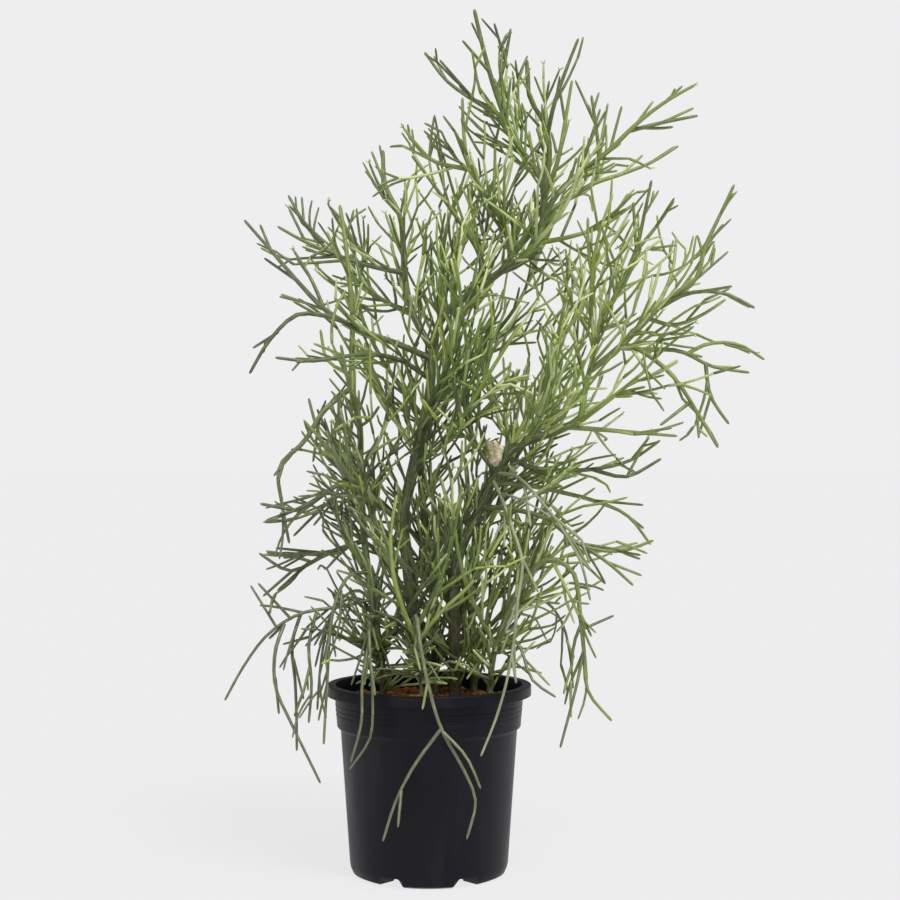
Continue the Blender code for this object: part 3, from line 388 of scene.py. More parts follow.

# The plant's outline as the viewer sees it, x and z in millimetres at the pot's axis. Its points were
# picked on the photograph. Shoots keep inside it.
OUTLINE = [
    (33, 796), (56, 796), (81, 784), (92, 765), (145, 777), (139, 730), (192, 718), (251, 738),
    (255, 702), (232, 685), (237, 664), (204, 646), (243, 618), (243, 596), (265, 598), (279, 643),
    (290, 635), (279, 571), (271, 554), (305, 525), (271, 512), (318, 476), (290, 459), (273, 389),
    (254, 400), (226, 425), (237, 400), (195, 364), (215, 297), (192, 261), (165, 272), (176, 222),
    (156, 208), (176, 138), (153, 141), (128, 113), (117, 119), (120, 152), (95, 174), (92, 35),
    (-87, 35), (-95, 80), (-106, 80), (-131, 113), (-148, 169), (-165, 191), (-193, 155), (-195, 169),
    (-153, 225), (-170, 266), (-153, 275), (-162, 342), (-145, 386), (-103, 437), (-87, 453),
    (-120, 465), (-165, 458), (-170, 476), (-159, 509), (-137, 520), (-176, 604), (-165, 610),
    (-142, 593), (-137, 632), (-103, 629), (-70, 621), (-64, 665), (-45, 677), (-28, 694), (-8, 704),
    (25, 704), (20, 727), (-8, 763), (0, 769), (28, 755),
]
OUTLINE_EDGES = [(Vector(start), Vector(end)) for start, end in zip(OUTLINE, OUTLINE[1:] + OUTLINE[:1])]

# Clearings where the background shows between the twigs, which the fine twigs keep out of: radius in
# millimetres, and the places with it, each x and z as the viewer sees them. A scratch script found
# the places of 78 of them in the photograph, and 43 were picked by hand.
CLEARINGS = {
    14: [(-121, 497)],
    11: [(144, 699), (213, 680), (-110, 266)],
    10: [(-133, 539), (178, 358), (-126, 360)],
    9: [(264, 505), (83, 477), (64, 468), (208, 426), (198, 316), (-148, 315), (160, 248), (-127, 382),
        (-123, 262)],
    8: [(177, 712), (-28, 664), (-60, 632), (160, 620), (263, 548), (239, 465), (225, 438), (-113, 308),
        (185, 284), (108, 199), (-46, 482), (122, 692), (-122, 313)],
    7: [(245, 717), (133, 598), (274, 595), (-140, 585), (-146, 559), (280, 525), (285, 478), (181, 419),
        (266, 416), (-150, 348), (93, 198), (123, 712), (-81, 497), (70, 484), (-109, 326), (105, 274)],
    6: [(99, 470), (65, 784), (81, 767), (53, 754), (233, 710), (-31, 681), (194, 640), (218, 627),
        (-133, 609), (272, 570), (240, 532), (269, 480), (219, 396), (-125, 380), (195, 337), (156, 231),
        (112, 763), (19, 752), (141, 723), (-11, 695), (200, 664), (11, 644), (-28, 633), (-50, 620),
        (-5, 611), (279, 608), (193, 558), (-36, 505), (298, 477), (208, 390), (147, 366), (125, 345),
        (151, 311), (-130, 257), (124, 675), (156, 699), (-81, 482), (33, 548), (-104, 545), (64, 472),
        (-107, 203), (-38, 326), (-36, 245), (2, 200), (-33, 200), (65, 197), (91, 333), (118, 310)],
    5: [(24, 699), (134, 678), (-20, 651), (32, 617), (219, 612), (143, 608), (-45, 554), (-32, 533),
        (-100, 532), (199, 531), (230, 524), (-47, 484), (-107, 468), (-49, 436), (179, 401), (240, 422),
        (-10, 553), (-62, 395), (-21, 378), (-14, 297), (-2, 257), (61, 239), (48, 233), (59, 329),
        (20, 345), (-52, 290), (-66, 262)],
    4: [(30, 288)],
}

# Limbs in millimetres: habit, start radius, tip radius, and then the route's points, with x and z as
# the viewer sees them at the pot's axis and y the true depth. The first limb of a stem is its trunk,
# which starts in the soil. Every other limb starts on the nearest point of the limbs before it.
LIMB_ROWS = {
    "stem_main": [
        ("trunk", 6.4, 4.8, (-13, 2, 234), (-20, 0, 290), (-25, 0, 325), (-20, 2, 351), (-13, 4, 382),
         (-4, 4, 423), (3, 2, 464), (2, 0, 487)),
        ("crown", 4.0, 2.1, (2, 0, 487), (18, -8, 525), (42, -12, 539), (62, -14, 555), (84, -10, 570),
         (101, -6, 586), (108, 0, 634), (94, 4, 657), (78, 6, 685), (63, 6, 722), (52, 4, 759),
         (42, 0, 802)),
        ("crown", 3.5, 2.2, (2, 0, 487), (-14, 12, 516), (-20, 20, 530), (-23, 30, 565), (-27, 40, 610),
         (-40, 48, 634), (-43, 52, 671)),
        ("crown", 2.8, 2.1, (108, 0, 632), (111, 14, 650), (110, 26, 690), (94, 34, 717), (91, 38, 755)),
        ("crown", 2.6, 1.6, (108, -2, 628), (116, -16, 650), (120, -24, 662), (126, -28, 694),
         (133, -34, 736)),
        ("crown", 2.3, 1.6, (110, 22, 684), (114, 14, 705), (122, 8, 731), (139, 2, 775)),
        ("crown", 2.8, 1.6, (76, -12, 566), (70, -24, 600), (57, -34, 624), (38, -42, 652), (32, -46, 690),
         (31, -48, 720)),
        ("crown", 2.2, 1.6, (72, 6, 700), (56, 14, 708), (38, 20, 720), (10, 28, 741), (-4, 32, 762)),
        ("side", 2.4, 1.6, (38, -42, 652), (14, -50, 660), (-8, -56, 666), (-24, -60, 692)),
        ("crown", 2.6, 1.6, (48, -12, 543), (47, 8, 578), (29, 22, 601), (15, 28, 624), (-16, 34, 666)),
        ("crown", 3.0, 1.6, (104, -3, 600), (122, -16, 634), (168, -30, 671), (205, -38, 706),
         (248, -44, 732)),
        ("side", 2.2, 1.6, (187, -34, 687), (205, -24, 694), (250, -18, 703)),
        ("crown", 2.6, 1.6, (106, -1, 612), (136, 18, 629), (159, 30, 643), (196, 42, 654), (232, 50, 675)),
        ("crown", 2.2, 1.6, (154, 28, 641), (158, 34, 668), (151, 40, 722)),
        ("crown", 2.2, 1.6, (138, -21, 648), (150, -30, 680), (165, -34, 708)),
        ("side", 3.2, 1.6, (2, 1, 476), (-20, -8, 488), (-46, -16, 496), (-87, -28, 515), (-115, -36, 541),
         (-143, -42, 573), (-172, -46, 606)),
        ("side", 2.2, 1.6, (-98, -31, 524), (-108, -22, 548), (-126, -16, 578)),
        ("crown", 2.6, 1.6, (-22, 27, 556), (-36, 32, 560), (-64, 42, 566), (-101, 54, 583),
         (-131, 62, 629)),
        ("side", 2.2, 1.6, (-88, 48, 576), (-112, 42, 584), (-141, 36, 600)),
        ("arch", 2.5, 1.6, (-66, -22, 503), (-92, -48, 516), (-106, -56, 521), (-125, -60, 517),
         (-143, -62, 503), (-153, -62, 485), (-167, -60, 463)),
        ("side", 2.5, 1.6, (2, 2, 458), (-32, -20, 478), (-69, -52, 480), (-117, -76, 474),
         (-143, -86, 478)),
        ("crown", 2.8, 1.6, (-4, 4, 425), (8, -30, 450), (20, -62, 480), (30, -92, 520), (24, -112, 570)),
        ("crown", 2.9, 1.6, (-13, 4, 385), (-6, 40, 410), (10, 80, 450), (26, 108, 500), (20, 126, 560)),
        ("side", 2.5, 1.6, (-24, 0, 322), (-50, -34, 345), (-80, -64, 375), (-96, -84, 410)),
        ("side", 2.5, 1.6, (-14, 4, 378), (12, -28, 396), (36, -54, 430), (60, -74, 470), (86, -90, 510)),
        ("crown", 2.5, 1.6, (84, -10, 571), (104, -44, 590), (128, -74, 620), (140, -92, 655)),
        ("crown", 2.6, 1.6, (62, -12, 556), (84, 30, 580), (110, 64, 610), (140, 92, 640)),
        ("crown", 2.6, 1.6, (-15, 13, 518), (-40, 50, 530), (-70, 84, 550), (-90, 110, 590)),
        ("crown", 2.1, 1.6, (62, 6, 724), (70, 10, 750), (76, 14, 784)),
        ("crown", 2.1, 1.6, (56, 5, 742), (42, -6, 754), (31, -12, 773)),
        ("crown", 2.2, 1.6, (88, 5, 666), (72, -14, 690), (64, -24, 730)),
        ("crown", 2.2, 1.6, (98, 4, 652), (78, 24, 680), (58, 36, 716)),
        ("crown", 2.5, 1.6, (100, -8, 584), (130, 12, 590), (165, 28, 602), (192, 36, 622)),
        ("crown", 2.4, 1.6, (-10, 4, 392), (-32, 14, 420), (-52, 26, 450), (-60, 36, 492)),
        ("side", 2.3, 1.6, (-16, 2, 252), (-36, 22, 280), (-50, 34, 318), (-54, 40, 360)),
        ("side", 2.3, 1.6, (-14, 2, 238), (-2, -24, 262), (22, -40, 290), (44, -50, 326)),
    ],
    "stem_right": [
        ("trunk", 6.2, 4.2, (24, -10, 210), (23, -8, 275), (36, -6, 316), (49, -8, 340), (58, -10, 360),
         (66, -12, 384), (90, -16, 400), (115, -20, 408), (141, -24, 419)),
        ("side", 2.8, 1.6, (141, -24, 419), (154, -30, 435), (174, -38, 443), (190, -44, 452),
         (204, -50, 468)),
        ("crown", 3.2, 1.6, (141, -24, 419), (148, -16, 464), (154, -10, 490), (150, -4, 520),
         (136, 2, 545)),
        ("crown", 3.1, 1.6, (148, -16, 464), (174, -20, 485), (200, -26, 510), (226, -32, 536),
         (254, -36, 556), (257, -38, 586), (270, -40, 609), (284, -42, 639)),
        ("crown", 2.6, 1.6, (154, -10, 490), (170, 4, 530), (190, 16, 570), (200, 24, 610), (207, 28, 643)),
        ("side", 2.1, 1.6, (192, 17, 575), (210, 10, 598), (228, 4, 624)),
        ("crown", 2.2, 1.6, (154, -10, 495), (160, -30, 520), (159, -44, 545)),
        ("arch", 2.5, 1.6, (176, -20, 487), (190, -2, 485), (215, 8, 486), (243, 14, 482), (254, 16, 472),
         (298, 18, 464)),
        ("arch", 2.1, 1.6, (256, 16, 470), (263, 8, 438), (279, 2, 416)),
        ("arch", 2.1, 1.6, (240, 14, 483), (252, 24, 490), (289, 32, 490), (312, 36, 476)),
        ("side", 2.2, 1.6, (213, -29, 523), (245, -44, 539), (284, -54, 536), (303, -58, 524)),
        ("arch", 2.5, 1.6, (180, -21, 490), (196, -50, 484), (215, -62, 476), (245, -70, 434),
         (269, -74, 394)),
        ("arch", 2.1, 1.6, (243, -69, 437), (232, -78, 424), (215, -84, 415)),
        ("side", 2.5, 1.6, (128, -22, 413), (159, -4, 411), (195, 10, 408), (231, 20, 405)),
        ("side", 2.5, 1.6, (70, -11, 388), (95, 10, 376), (122, 22, 373), (177, 36, 378), (215, 44, 401)),
        ("droop", 2.2, 1.6, (60, -10, 374), (84, -40, 366), (103, -58, 346), (115, -68, 327),
         (136, -76, 303), (150, -80, 252)),
        ("droop", 2.2, 1.6, (58, -10, 366), (66, -34, 352), (70, -52, 338), (78, -66, 318), (86, -76, 290),
         (90, -82, 269), (82, -86, 251), (80, -88, 226), (78, -88, 209), (68, -88, 159), (48, -92, 107)),
        ("side", 2.6, 1.6, (48, -8, 338), (84, -30, 336), (112, -42, 327), (144, -50, 302), (196, -56, 298),
         (209, -58, 308)),
        ("side", 2.1, 1.6, (142, -50, 304), (157, -62, 295), (190, -72, 266)),
        ("side", 2.5, 1.6, (58, -10, 362), (86, 8, 360), (112, 24, 355), (150, 36, 346), (191, 44, 327),
         (206, 48, 304)),
        ("crown", 2.5, 1.6, (90, -14, 400), (100, -48, 420), (112, -80, 452), (120, -100, 490)),
        ("crown", 2.6, 1.6, (66, -10, 384), (84, 26, 410), (104, 64, 440), (120, 100, 480),
         (130, 120, 530)),
        ("crown", 2.3, 1.6, (200, -26, 510), (214, 10, 530), (226, 44, 556), (230, 70, 590)),
        ("crown", 2.4, 1.6, (150, -4, 518), (152, -14, 560), (160, -24, 600), (171, -30, 630)),
        ("side", 2.2, 1.6, (205, -27, 514), (232, -8, 508), (258, 2, 520), (276, 6, 532)),
        ("arch", 2.2, 1.6, (150, 30, 376), (180, 16, 366), (216, 8, 384)),
        ("crown", 2.5, 1.6, (62, -11, 372), (42, -32, 400), (32, -46, 440), (36, -56, 484)),
        ("crown", 2.3, 1.6, (78, -14, 392), (70, 6, 430), (76, 20, 474)),
        ("side", 2.3, 1.6, (23, -9, 226), (4, -30, 256), (-16, -46, 290), (-34, -56, 330)),
    ],
    "stem_left": [
        ("side", 3.8, 2.1, (-46, -14, 210), (-53, -14, 252), (-62, -16, 327), (-64, -16, 390),
         (-65, -14, 424), (-72, -12, 455), (-71, -4, 513), (-74, 0, 550), (-78, 4, 587), (-83, 8, 620)),
        ("arch", 2.6, 1.6, (-72, -12, 452), (-94, -20, 432), (-112, -26, 413), (-117, -30, 398),
         (-133, -34, 390), (-140, -36, 374), (-140, -38, 356), (-136, -40, 338), (-135, -40, 318),
         (-130, -40, 305)),
        ("side", 2.2, 1.6, (-70, -10, 462), (-99, 12, 480), (-101, 20, 504)),
        ("side", 2.5, 1.6, (-64, -16, 373), (-84, -34, 360), (-101, -46, 350), (-120, -54, 338),
         (-152, -62, 326)),
        ("arch", 2.1, 1.6, (-125, -55, 336), (-140, -66, 333), (-157, -74, 342)),
        ("side", 2.5, 1.6, (-60, -16, 308), (-104, -2, 292), (-138, 8, 277), (-158, 12, 296)),
        ("side", 2.1, 1.6, (-112, 0, 289), (-123, -10, 278), (-141, -18, 261)),
        ("droop", 2.2, 1.6, (-53, -14, 254), (-84, -32, 246), (-112, -40, 243), (-142, -46, 227),
         (-152, -48, 218), (-180, -52, 180), (-190, -54, 159)),
        ("droop", 2.1, 1.6, (-142, -46, 227), (-147, -40, 238), (-166, -34, 266)),
        ("droop", 2.2, 1.6, (-134, -44, 231), (-142, -58, 218), (-143, -64, 172), (-133, -66, 148),
         (-101, -68, 82)),
        ("droop", 2.2, 1.6, (-118, -41, 240), (-128, -30, 208), (-124, -26, 172), (-123, -24, 112)),
        ("droop", 2.0, 1.6, (-128, -43, 236), (-138, -54, 246), (-159, -62, 268)),
        ("side", 2.5, 1.6, (-64, -16, 395), (-66, -50, 420), (-74, -84, 450), (-82, -100, 490)),
        ("side", 2.6, 1.6, (-62, -16, 340), (-80, 20, 370), (-100, 54, 400), (-112, 84, 440)),
        ("droop", 2.2, 1.6, (-48, -14, 232), (-54, -50, 240), (-56, -82, 222), (-54, -98, 185),
         (-52, -100, 138), (-57, -98, 120), (-74, -94, 95)),
        ("droop", 2.0, 1.6, (-56, -86, 214), (-62, -102, 182), (-63, -104, 138), (-73, -104, 101)),
        ("droop", 2.2, 1.6, (-52, -14, 250), (-70, 30, 262), (-90, 70, 240), (-100, 90, 200),
         (-104, 96, 150)),
        ("droop", 2.2, 1.6, (-104, -38, 242), (-112, -52, 214), (-109, -58, 170), (-112, -60, 138)),
        ("droop", 2.2, 1.6, (-56, -15, 278), (-76, -42, 274), (-90, -58, 240), (-94, -66, 190),
         (-98, -70, 118)),
        ("droop", 2.2, 1.6, (-50, -14, 238), (-70, 10, 256), (-92, 26, 238), (-106, 34, 190)),
        ("side", 2.4, 1.6, (-63, -16, 350), (-84, 6, 350), (-108, 24, 330), (-126, 34, 312)),
        ("side", 2.4, 1.6, (-46, -14, 205), (-24, -34, 236), (-4, -52, 272), (8, -62, 316), (10, -66, 352)),
    ],
    "stem_front": [
        ("droop", 2.5, 1.6, (-10, -50, 205), (-14, -62, 238), (-12, -80, 240), (-9, -96, 215),
         (-3, -103, 185), (4, -104, 154), (11, -104, 133), (28, -104, 101), (44, -103, 77), (35, -102, 30)),
        ("droop", 2.1, 1.6, (11, -104, 133), (-8, -103, 106), (-24, -103, 84), (-43, -102, 28)),
        ("droop", 2.0, 1.6, (-28, -103, 76), (-28, -108, 60), (-29, -110, 41)),
        ("droop", 2.0, 1.6, (13, -104, 130), (26, -112, 116), (45, -114, 94), (48, -114, 77)),
        ("side", 2.5, 1.6, (-12, -52, 215), (-30, -68, 260), (-36, -80, 310), (-30, -88, 350)),
        ("side", 2.5, 1.6, (-12, -55, 225), (10, -68, 270), (24, -80, 320), (30, -92, 360)),
        ("side", 2.3, 1.6, (-12, -52, 212), (8, -62, 238), (34, -68, 262), (60, -72, 292)),
    ],
    "stem_back": [
        ("trunk", 5.0, 3.0, (6, 42, 220), (0, 52, 300), (-8, 66, 370), (0, 84, 440)),
        ("crown", 2.5, 1.6, (0, 84, 440), (10, 104, 520), (14, 116, 590), (30, 120, 640)),
        ("side", 2.6, 1.6, (0, 52, 300), (-40, 76, 340), (-80, 100, 380), (-104, 120, 430)),
        ("side", 2.6, 1.6, (0, 50, 285), (40, 74, 320), (84, 98, 360), (120, 118, 410), (140, 130, 470)),
        ("crown", 2.5, 1.6, (0, 82, 432), (44, 96, 480), (84, 110, 530), (104, 120, 580)),
        ("crown", 2.5, 1.6, (-2, 78, 420), (-40, 100, 470), (-64, 116, 520), (-70, 124, 570)),
        ("droop", 2.2, 1.6, (4, 44, 250), (20, 72, 268), (40, 98, 240), (46, 114, 190), (44, 118, 130)),
        ("droop", 2.2, 1.6, (4, 43, 240), (-30, 72, 262), (-54, 100, 240), (-60, 112, 190),
         (-58, 114, 140)),
    ],
    "stem_low_right": [
        ("side", 3.2, 1.6, (62, -24, 210), (84, -38, 262), (110, -48, 292), (131, -52, 288),
         (140, -54, 243), (144, -54, 207), (150, -54, 159), (170, -54, 140)),
        ("droop", 2.0, 1.6, (144, -54, 207), (137, -62, 172), (122, -66, 115)),
        ("droop", 2.0, 1.6, (143, -54, 224), (163, -46, 221), (172, -42, 238)),
        ("side", 2.5, 1.6, (66, -27, 226), (96, 0, 262), (120, 20, 290), (150, 34, 300)),
        ("droop", 2.1, 1.6, (66, -26, 222), (82, -52, 214), (94, -70, 186), (98, -74, 164),
         (118, -76, 162)),
        ("droop", 2.2, 1.6, (62, -24, 212), (84, 14, 244), (110, 50, 250), (128, 70, 220), (134, 76, 170)),
        ("side", 2.4, 1.6, (62, -24, 208), (46, -48, 240), (30, -64, 280), (22, -74, 330), (10, -78, 366)),
    ],
    "stem_centre": [
        ("trunk", 3.6, 2.2, (42, 24, 210), (40, 22, 262), (48, 24, 310), (70, 34, 350), (80, 40, 400)),
        ("side", 2.5, 1.6, (42, 24, 205), (20, 30, 250), (-6, 34, 290)),
        ("side", 2.5, 1.6, (42, 24, 215), (76, 40, 250), (100, 52, 300), (124, 60, 340)),
        ("side", 2.3, 1.6, (41, 23, 236), (64, 6, 262), (86, -6, 300), (92, -14, 345)),
    ],
}
LIMBS = {stem: [Limb(habit, start, tip, route) for habit, start, tip, *route in rows]
         for stem, rows in LIMB_ROWS.items()}

PALE_DROOPERS = {"stem_front": 0.10, "stem_right": 0.90, "stem_low_right": 0.10}
DROOPER_GREYNESS = 0.85

# The woody knot part way up the right-hand stem, where its pale branches start, and the square about
# it that stays in sight: how far that lies to the knot's right and reaches, in millimetres
KNOT_PLACE = (59, -15, 389)
KNOT_SIZE = Vector((0.0092, 0.0088, 0.0098))
KNOT_BARE_SHIFT = 2.5
KNOT_BARE_REACH = 7.0


def placed(point):
    """Turn a route point, in millimetres as the viewer sees it, into its true place in metres."""
    x, y, z = (value * MM for value in point)
    spread = 1.0 + y / VIEWER_DISTANCE
    return Vector((VIEWER_X + (x - VIEWER_X) * spread, y, VIEWER_HEIGHT + (z - VIEWER_HEIGHT) * spread))


def curve_point(before, start, end, after, share):
    """A point between start and end on the smooth curve that also heeds the points on either side."""
    slope_in = (end - before) * 0.5
    slope_out = (after - start) * 0.5
    s2 = share * share
    s3 = s2 * share
    return (start * (2 * s3 - 3 * s2 + 1) + slope_in * (s3 - 2 * s2 + share)
            + end * (3 * s2 - 2 * s3) + slope_out * (s3 - s2))


def smooth_line(points, steps):
    """A smooth line through the points, with the given number of steps from each to the next."""
    padded = [points[0] * 2 - points[1], *points, points[-1] * 2 - points[-2]]
    line = [points[0].copy()]
    for corners in zip(padded, padded[1:], padded[2:], padded[3:]):
        line.extend(curve_point(*corners, step / steps) for step in range(1, steps + 1))
    return line


def clamped(value):
    return max(0.0, min(1.0, value))


def between(start, end, share):
    """The value that lies the given share of the way from start to end."""
    return start + (end - start) * share


def reached(value, span):
    """How far a value has come from a span's start to its end, from 0 to 1."""
    start, end = span
    return clamped((value - start) / (end - start))


def section_lengths(line):
    return [(b - a).length for a, b in zip(line, line[1:])]


def places_along(line, lengths, distances):
    """The point and heading at each distance along a line with these section lengths."""
    index = 0
    passed = 0.0
    for distance in distances:
        while index < len(lengths) - 1 and passed + lengths[index] < distance:
            passed += lengths[index]
            index += 1
        start, end = line[index], line[index + 1]
        share = clamped((distance - passed) / lengths[index])
        yield start.lerp(end, share), (end - start).normalized()


def walk(line, spacing):
    """Yield points at even distances along a line, as (point, heading, share of its length)."""
    lengths = section_lengths(line)
    total = sum(lengths)
    count = max(1, round(total / spacing))
    distances = (total * step / count for step in range(count + 1))
    for step, (point, heading) in enumerate(places_along(line, lengths, distances)):
        yield point, heading, step / count


def even_line(line, spacing):
    return [point for point, _, _ in walk(line, spacing)]


def tapered(line, start_radius, tip_radius):
    """A radius for each point, from the start's to the tip's."""
    last = len(line) - 1
    return [between(start_radius, tip_radius, index / last) for index in range(last + 1)]


def seen(point):
    """Where the viewer sees a point: x and z in millimetres at the pot's axis."""
    spread = (1.0 + point.y / VIEWER_DISTANCE) * MM
    x = VIEWER_X / MM + (point.x - VIEWER_X) / spread
    return x, VIEWER_HEIGHT / MM + (point.z - VIEWER_HEIGHT) / spread


def within_outline(point):
    """True where the viewer sees a point inside the plant's outline."""
    x, z = seen(point)
    inside = False
    for (start_x, start_z), (end_x, end_z) in OUTLINE_EDGES:
        if (start_z > z) != (end_z > z):
            crossing = between(start_x, end_x, (z - start_z) / (end_z - start_z))
            inside = inside != (x < crossing)
    return inside


class Room:
    """The space that twigs take, held as balls along their centre lines in a grid of cells."""

    def __init__(self):
        self.cells = {}
        self.gaps = (OTHER_STEM_GAP, OWN_STEM_GAP)

    @staticmethod
    def cell_of(point):
        return tuple(math.floor(value / CELL) for value in point)

    @staticmethod
    def balls(line, radii):
        for point, _, share in walk(line, BALL_SPACING):
            yield point, between(radii[0], radii[-1], share)

    def take(self, stem, line, radii):
        for point, radius in self.balls(line, radii):
            self.cells.setdefault(self.cell_of(point), []).append((stem, point, radius))

    def neighbours(self, point):
        cx, cy, cz = self.cell_of(point)
        for x in (cx - 1, cx, cx + 1):
            for y in (cy - 1, cy, cy + 1):
                for z in (cz - 1, cz, cz + 1):
                    yield from self.cells.get((x, y, z), ())

    def clash(self, stem, line, radii):
        """The worst overlap of a new twig with one already there: (depth, point, other), or None."""
        worst = None
        for point, radius in self.balls(line, radii):
            for other_stem, other, other_radius in self.neighbours(point):
                gap = self.gaps[0]
                if other_stem == stem:
                    gap = self.gaps[1]
                    if (other - line[0]).length < JUNCTION_REACH + radii[0]:
                        continue
                depth = radius + other_radius + gap - (point - other).length
                if depth > 0 and (worst is None or depth > worst[0]):
                    worst = (depth, point, other)
        return worst


def meets_pot(line, radii):
    """True where a line comes too near the pot, the soil or the floor."""
    mouth = BAND_TOP_RADIUS - WALL - OTHER_STEM_GAP
    soil_top = SOIL_EDGE_HEIGHT + SOIL_MOUND
    for point, radius in Room.balls(line, radii):
        low = point.z - radius - OTHER_STEM_GAP
        out = math.hypot(point.x, point.y)
        within = out + radius < mouth and low > soil_top
        outside = out - radius > LIP_RADIUS + OTHER_STEM_GAP and low > LOWEST_TIP
        if low < POT_HEIGHT and not within and not outside:
            return True
    return False


def limb_line(route):
    return even_line(smooth_line(route, SMOOTH_STEPS), LIMB_SECTION)


def bent_clear(room, stem, route, radii):
    """Shift a limb's points in depth, so that the front view stays, until it clears its neighbours."""
    for _ in range(BEND_TRIES):
        line = limb_line(route)
        clash = room.clash(stem, line, radii)
        if clash is None:
            break
        depth, point, other = clash
        way = 1.0 if point.y >= other.y else -1.0
        for index in range(1, len(route)):
            nearness = math.exp(-((route[index] - point).length / BEND_REACH) ** 2)
            route[index].y += way * (depth + MM) * nearness
    return limb_line(route)


def side_heading(heading, turn, angle):
    """A heading that leaves the given one by the angle, turned round it by the turn."""
    across = heading.cross(UP)
    if across.length < NEARLY_UPRIGHT:
        across = heading.cross(Vector((0.0, 1.0, 0.0)))
    across.normalize()
    across.rotate(Quaternion(heading, turn))
    return (heading * math.cos(angle) + across * math.sin(angle)).normalized()


class Plant:
    """Grows every stem's twigs in the same order each time, from the routes and a fixed seed."""

    def __init__(self):
        self.room = Room()
        self.draw = random.Random(SEED)
        self.twigs = []

    def lay_limbs(self, stem):
        """Lay a stem's limbs along their routes and return them."""
        foot_x, foot_y = (value * MM for value in STEM_FEET[stem])
        laid = []
        for limb in LIMBS[stem]:
            route = [placed(point) for point in limb.route]
            radii = (limb.start_radius * MM, limb.tip_radius * MM)
            if laid:
                route[0] = min((point for twig in laid for point, _, _ in walk(twig.line, BALL_SPACING)),
                               key=lambda point: (point - route[0]).length)
                line = bent_clear(self.room, stem, route, radii)
            else:
                foot = Vector((foot_x, foot_y, STEM_STRAIGHT_TOP))
                line = limb_line([foot, *route])
                line.insert(0, Vector((foot_x, foot_y, SOIL_EDGE_HEIGHT - HOLE_DEPTH + HOLE_GAP)))
            laid.append(self.settle(Twig(stem, line, tapered(line, *radii), limb.habit), radii))
        return laid

    def settle(self, twig, radii):
        """Keep a twig, and the room that it takes."""
        self.room.take(twig.stem, twig.line, radii)
        self.twigs.append(twig)
        return twig

    def add_shoot(self, parent, start, turn, angle, length, thickness, habit):
        """Grow one shoot off its parent, at the first of a few turns where there is room for it."""
        draw = self.draw
        point, parent_heading = start
        for _ in range(SHOOT_TRIES):
            sections = max(1, round(length / SHOOT_SECTION))
            heading = side_heading(parent_heading, turn, angle)
            line = [point]
            for _ in range(sections):
                sway = Vector([draw.uniform(-SHOOT_SWAY, SHOOT_SWAY) for _ in range(3)])
                heading = (heading + sway + UP * habit.lift).normalized()
                line.append(line[-1] + heading * (length / sections))
            radii = (thickness, thickness * SHOOT_TIP_SHARE)
            if self.fits(parent.stem, line, radii):
                ring_radii = tapered(line, *radii)
                ring_radii[0] *= SHOOT_ROOT_SHARE
                return self.settle(Twig(parent.stem, line, ring_radii, parent.habit), radii)
            turn += GOLDEN_TURN
            length *= RETRY_LENGTH_SHARE
        return None

    def fits(self, stem, line, radii):
        """True where a new twig keeps inside the outline and clear of the pot and the other twigs."""
        if not within_outline(line[-1]) or meets_pot(line, radii):
            return False
        return not self.room.clash(stem, line, radii)

    def add_shoots(self, limb):
        """Set shoots along a limb at golden turns, each with its forks."""
        draw = self.draw
        habit = HABITS[limb.habit]
        turn = draw.uniform(0.0, math.tau)
        for point, heading, share in list(walk(limb.line, habit.spacing))[1:-1]:
            turn += GOLDEN_TURN + draw.uniform(-TURN_SPREAD, TURN_SPREAD)
            angle = math.radians(draw.uniform(*habit.angle)) * between(1.0, END_ANGLE_SHARE, share)
            length = draw.uniform(habit.shortest, habit.longest)
            length *= between(START_LENGTH_SHARE, END_LENGTH_SHARE, share)
            thickness = draw.uniform(*SHOOT_RADII)
            forks = draw.random() < habit.forks
            if point.z < LOWEST_SHOOT:
                continue
            shoot = self.add_shoot(limb, (point, heading), turn, angle, length, thickness, habit)
            if shoot and forks:
                self.add_fork(shoot, habit, length)

    def add_fork(self, shoot, habit, length):
        """Fork a shoot part way along it."""
        draw = self.draw
        points = list(walk(shoot.line, length / FORK_STEPS))
        point, heading, _ = points[draw.randint(*FORK_FROM_STEPS)]
        angle = math.radians(draw.uniform(*FORK_ANGLES))
        length *= draw.uniform(*FORK_LENGTH_SHARES)
        turn = draw.uniform(0.0, math.tau)
        self.add_shoot(shoot, (point, heading), turn, angle, length, FORK_RADIUS, habit)

    def grow(self):
        limbs = [twig for stem in LIMBS for twig in self.lay_limbs(stem)]
        for limb in limbs:
            self.add_shoots(limb)
        return self.twigs


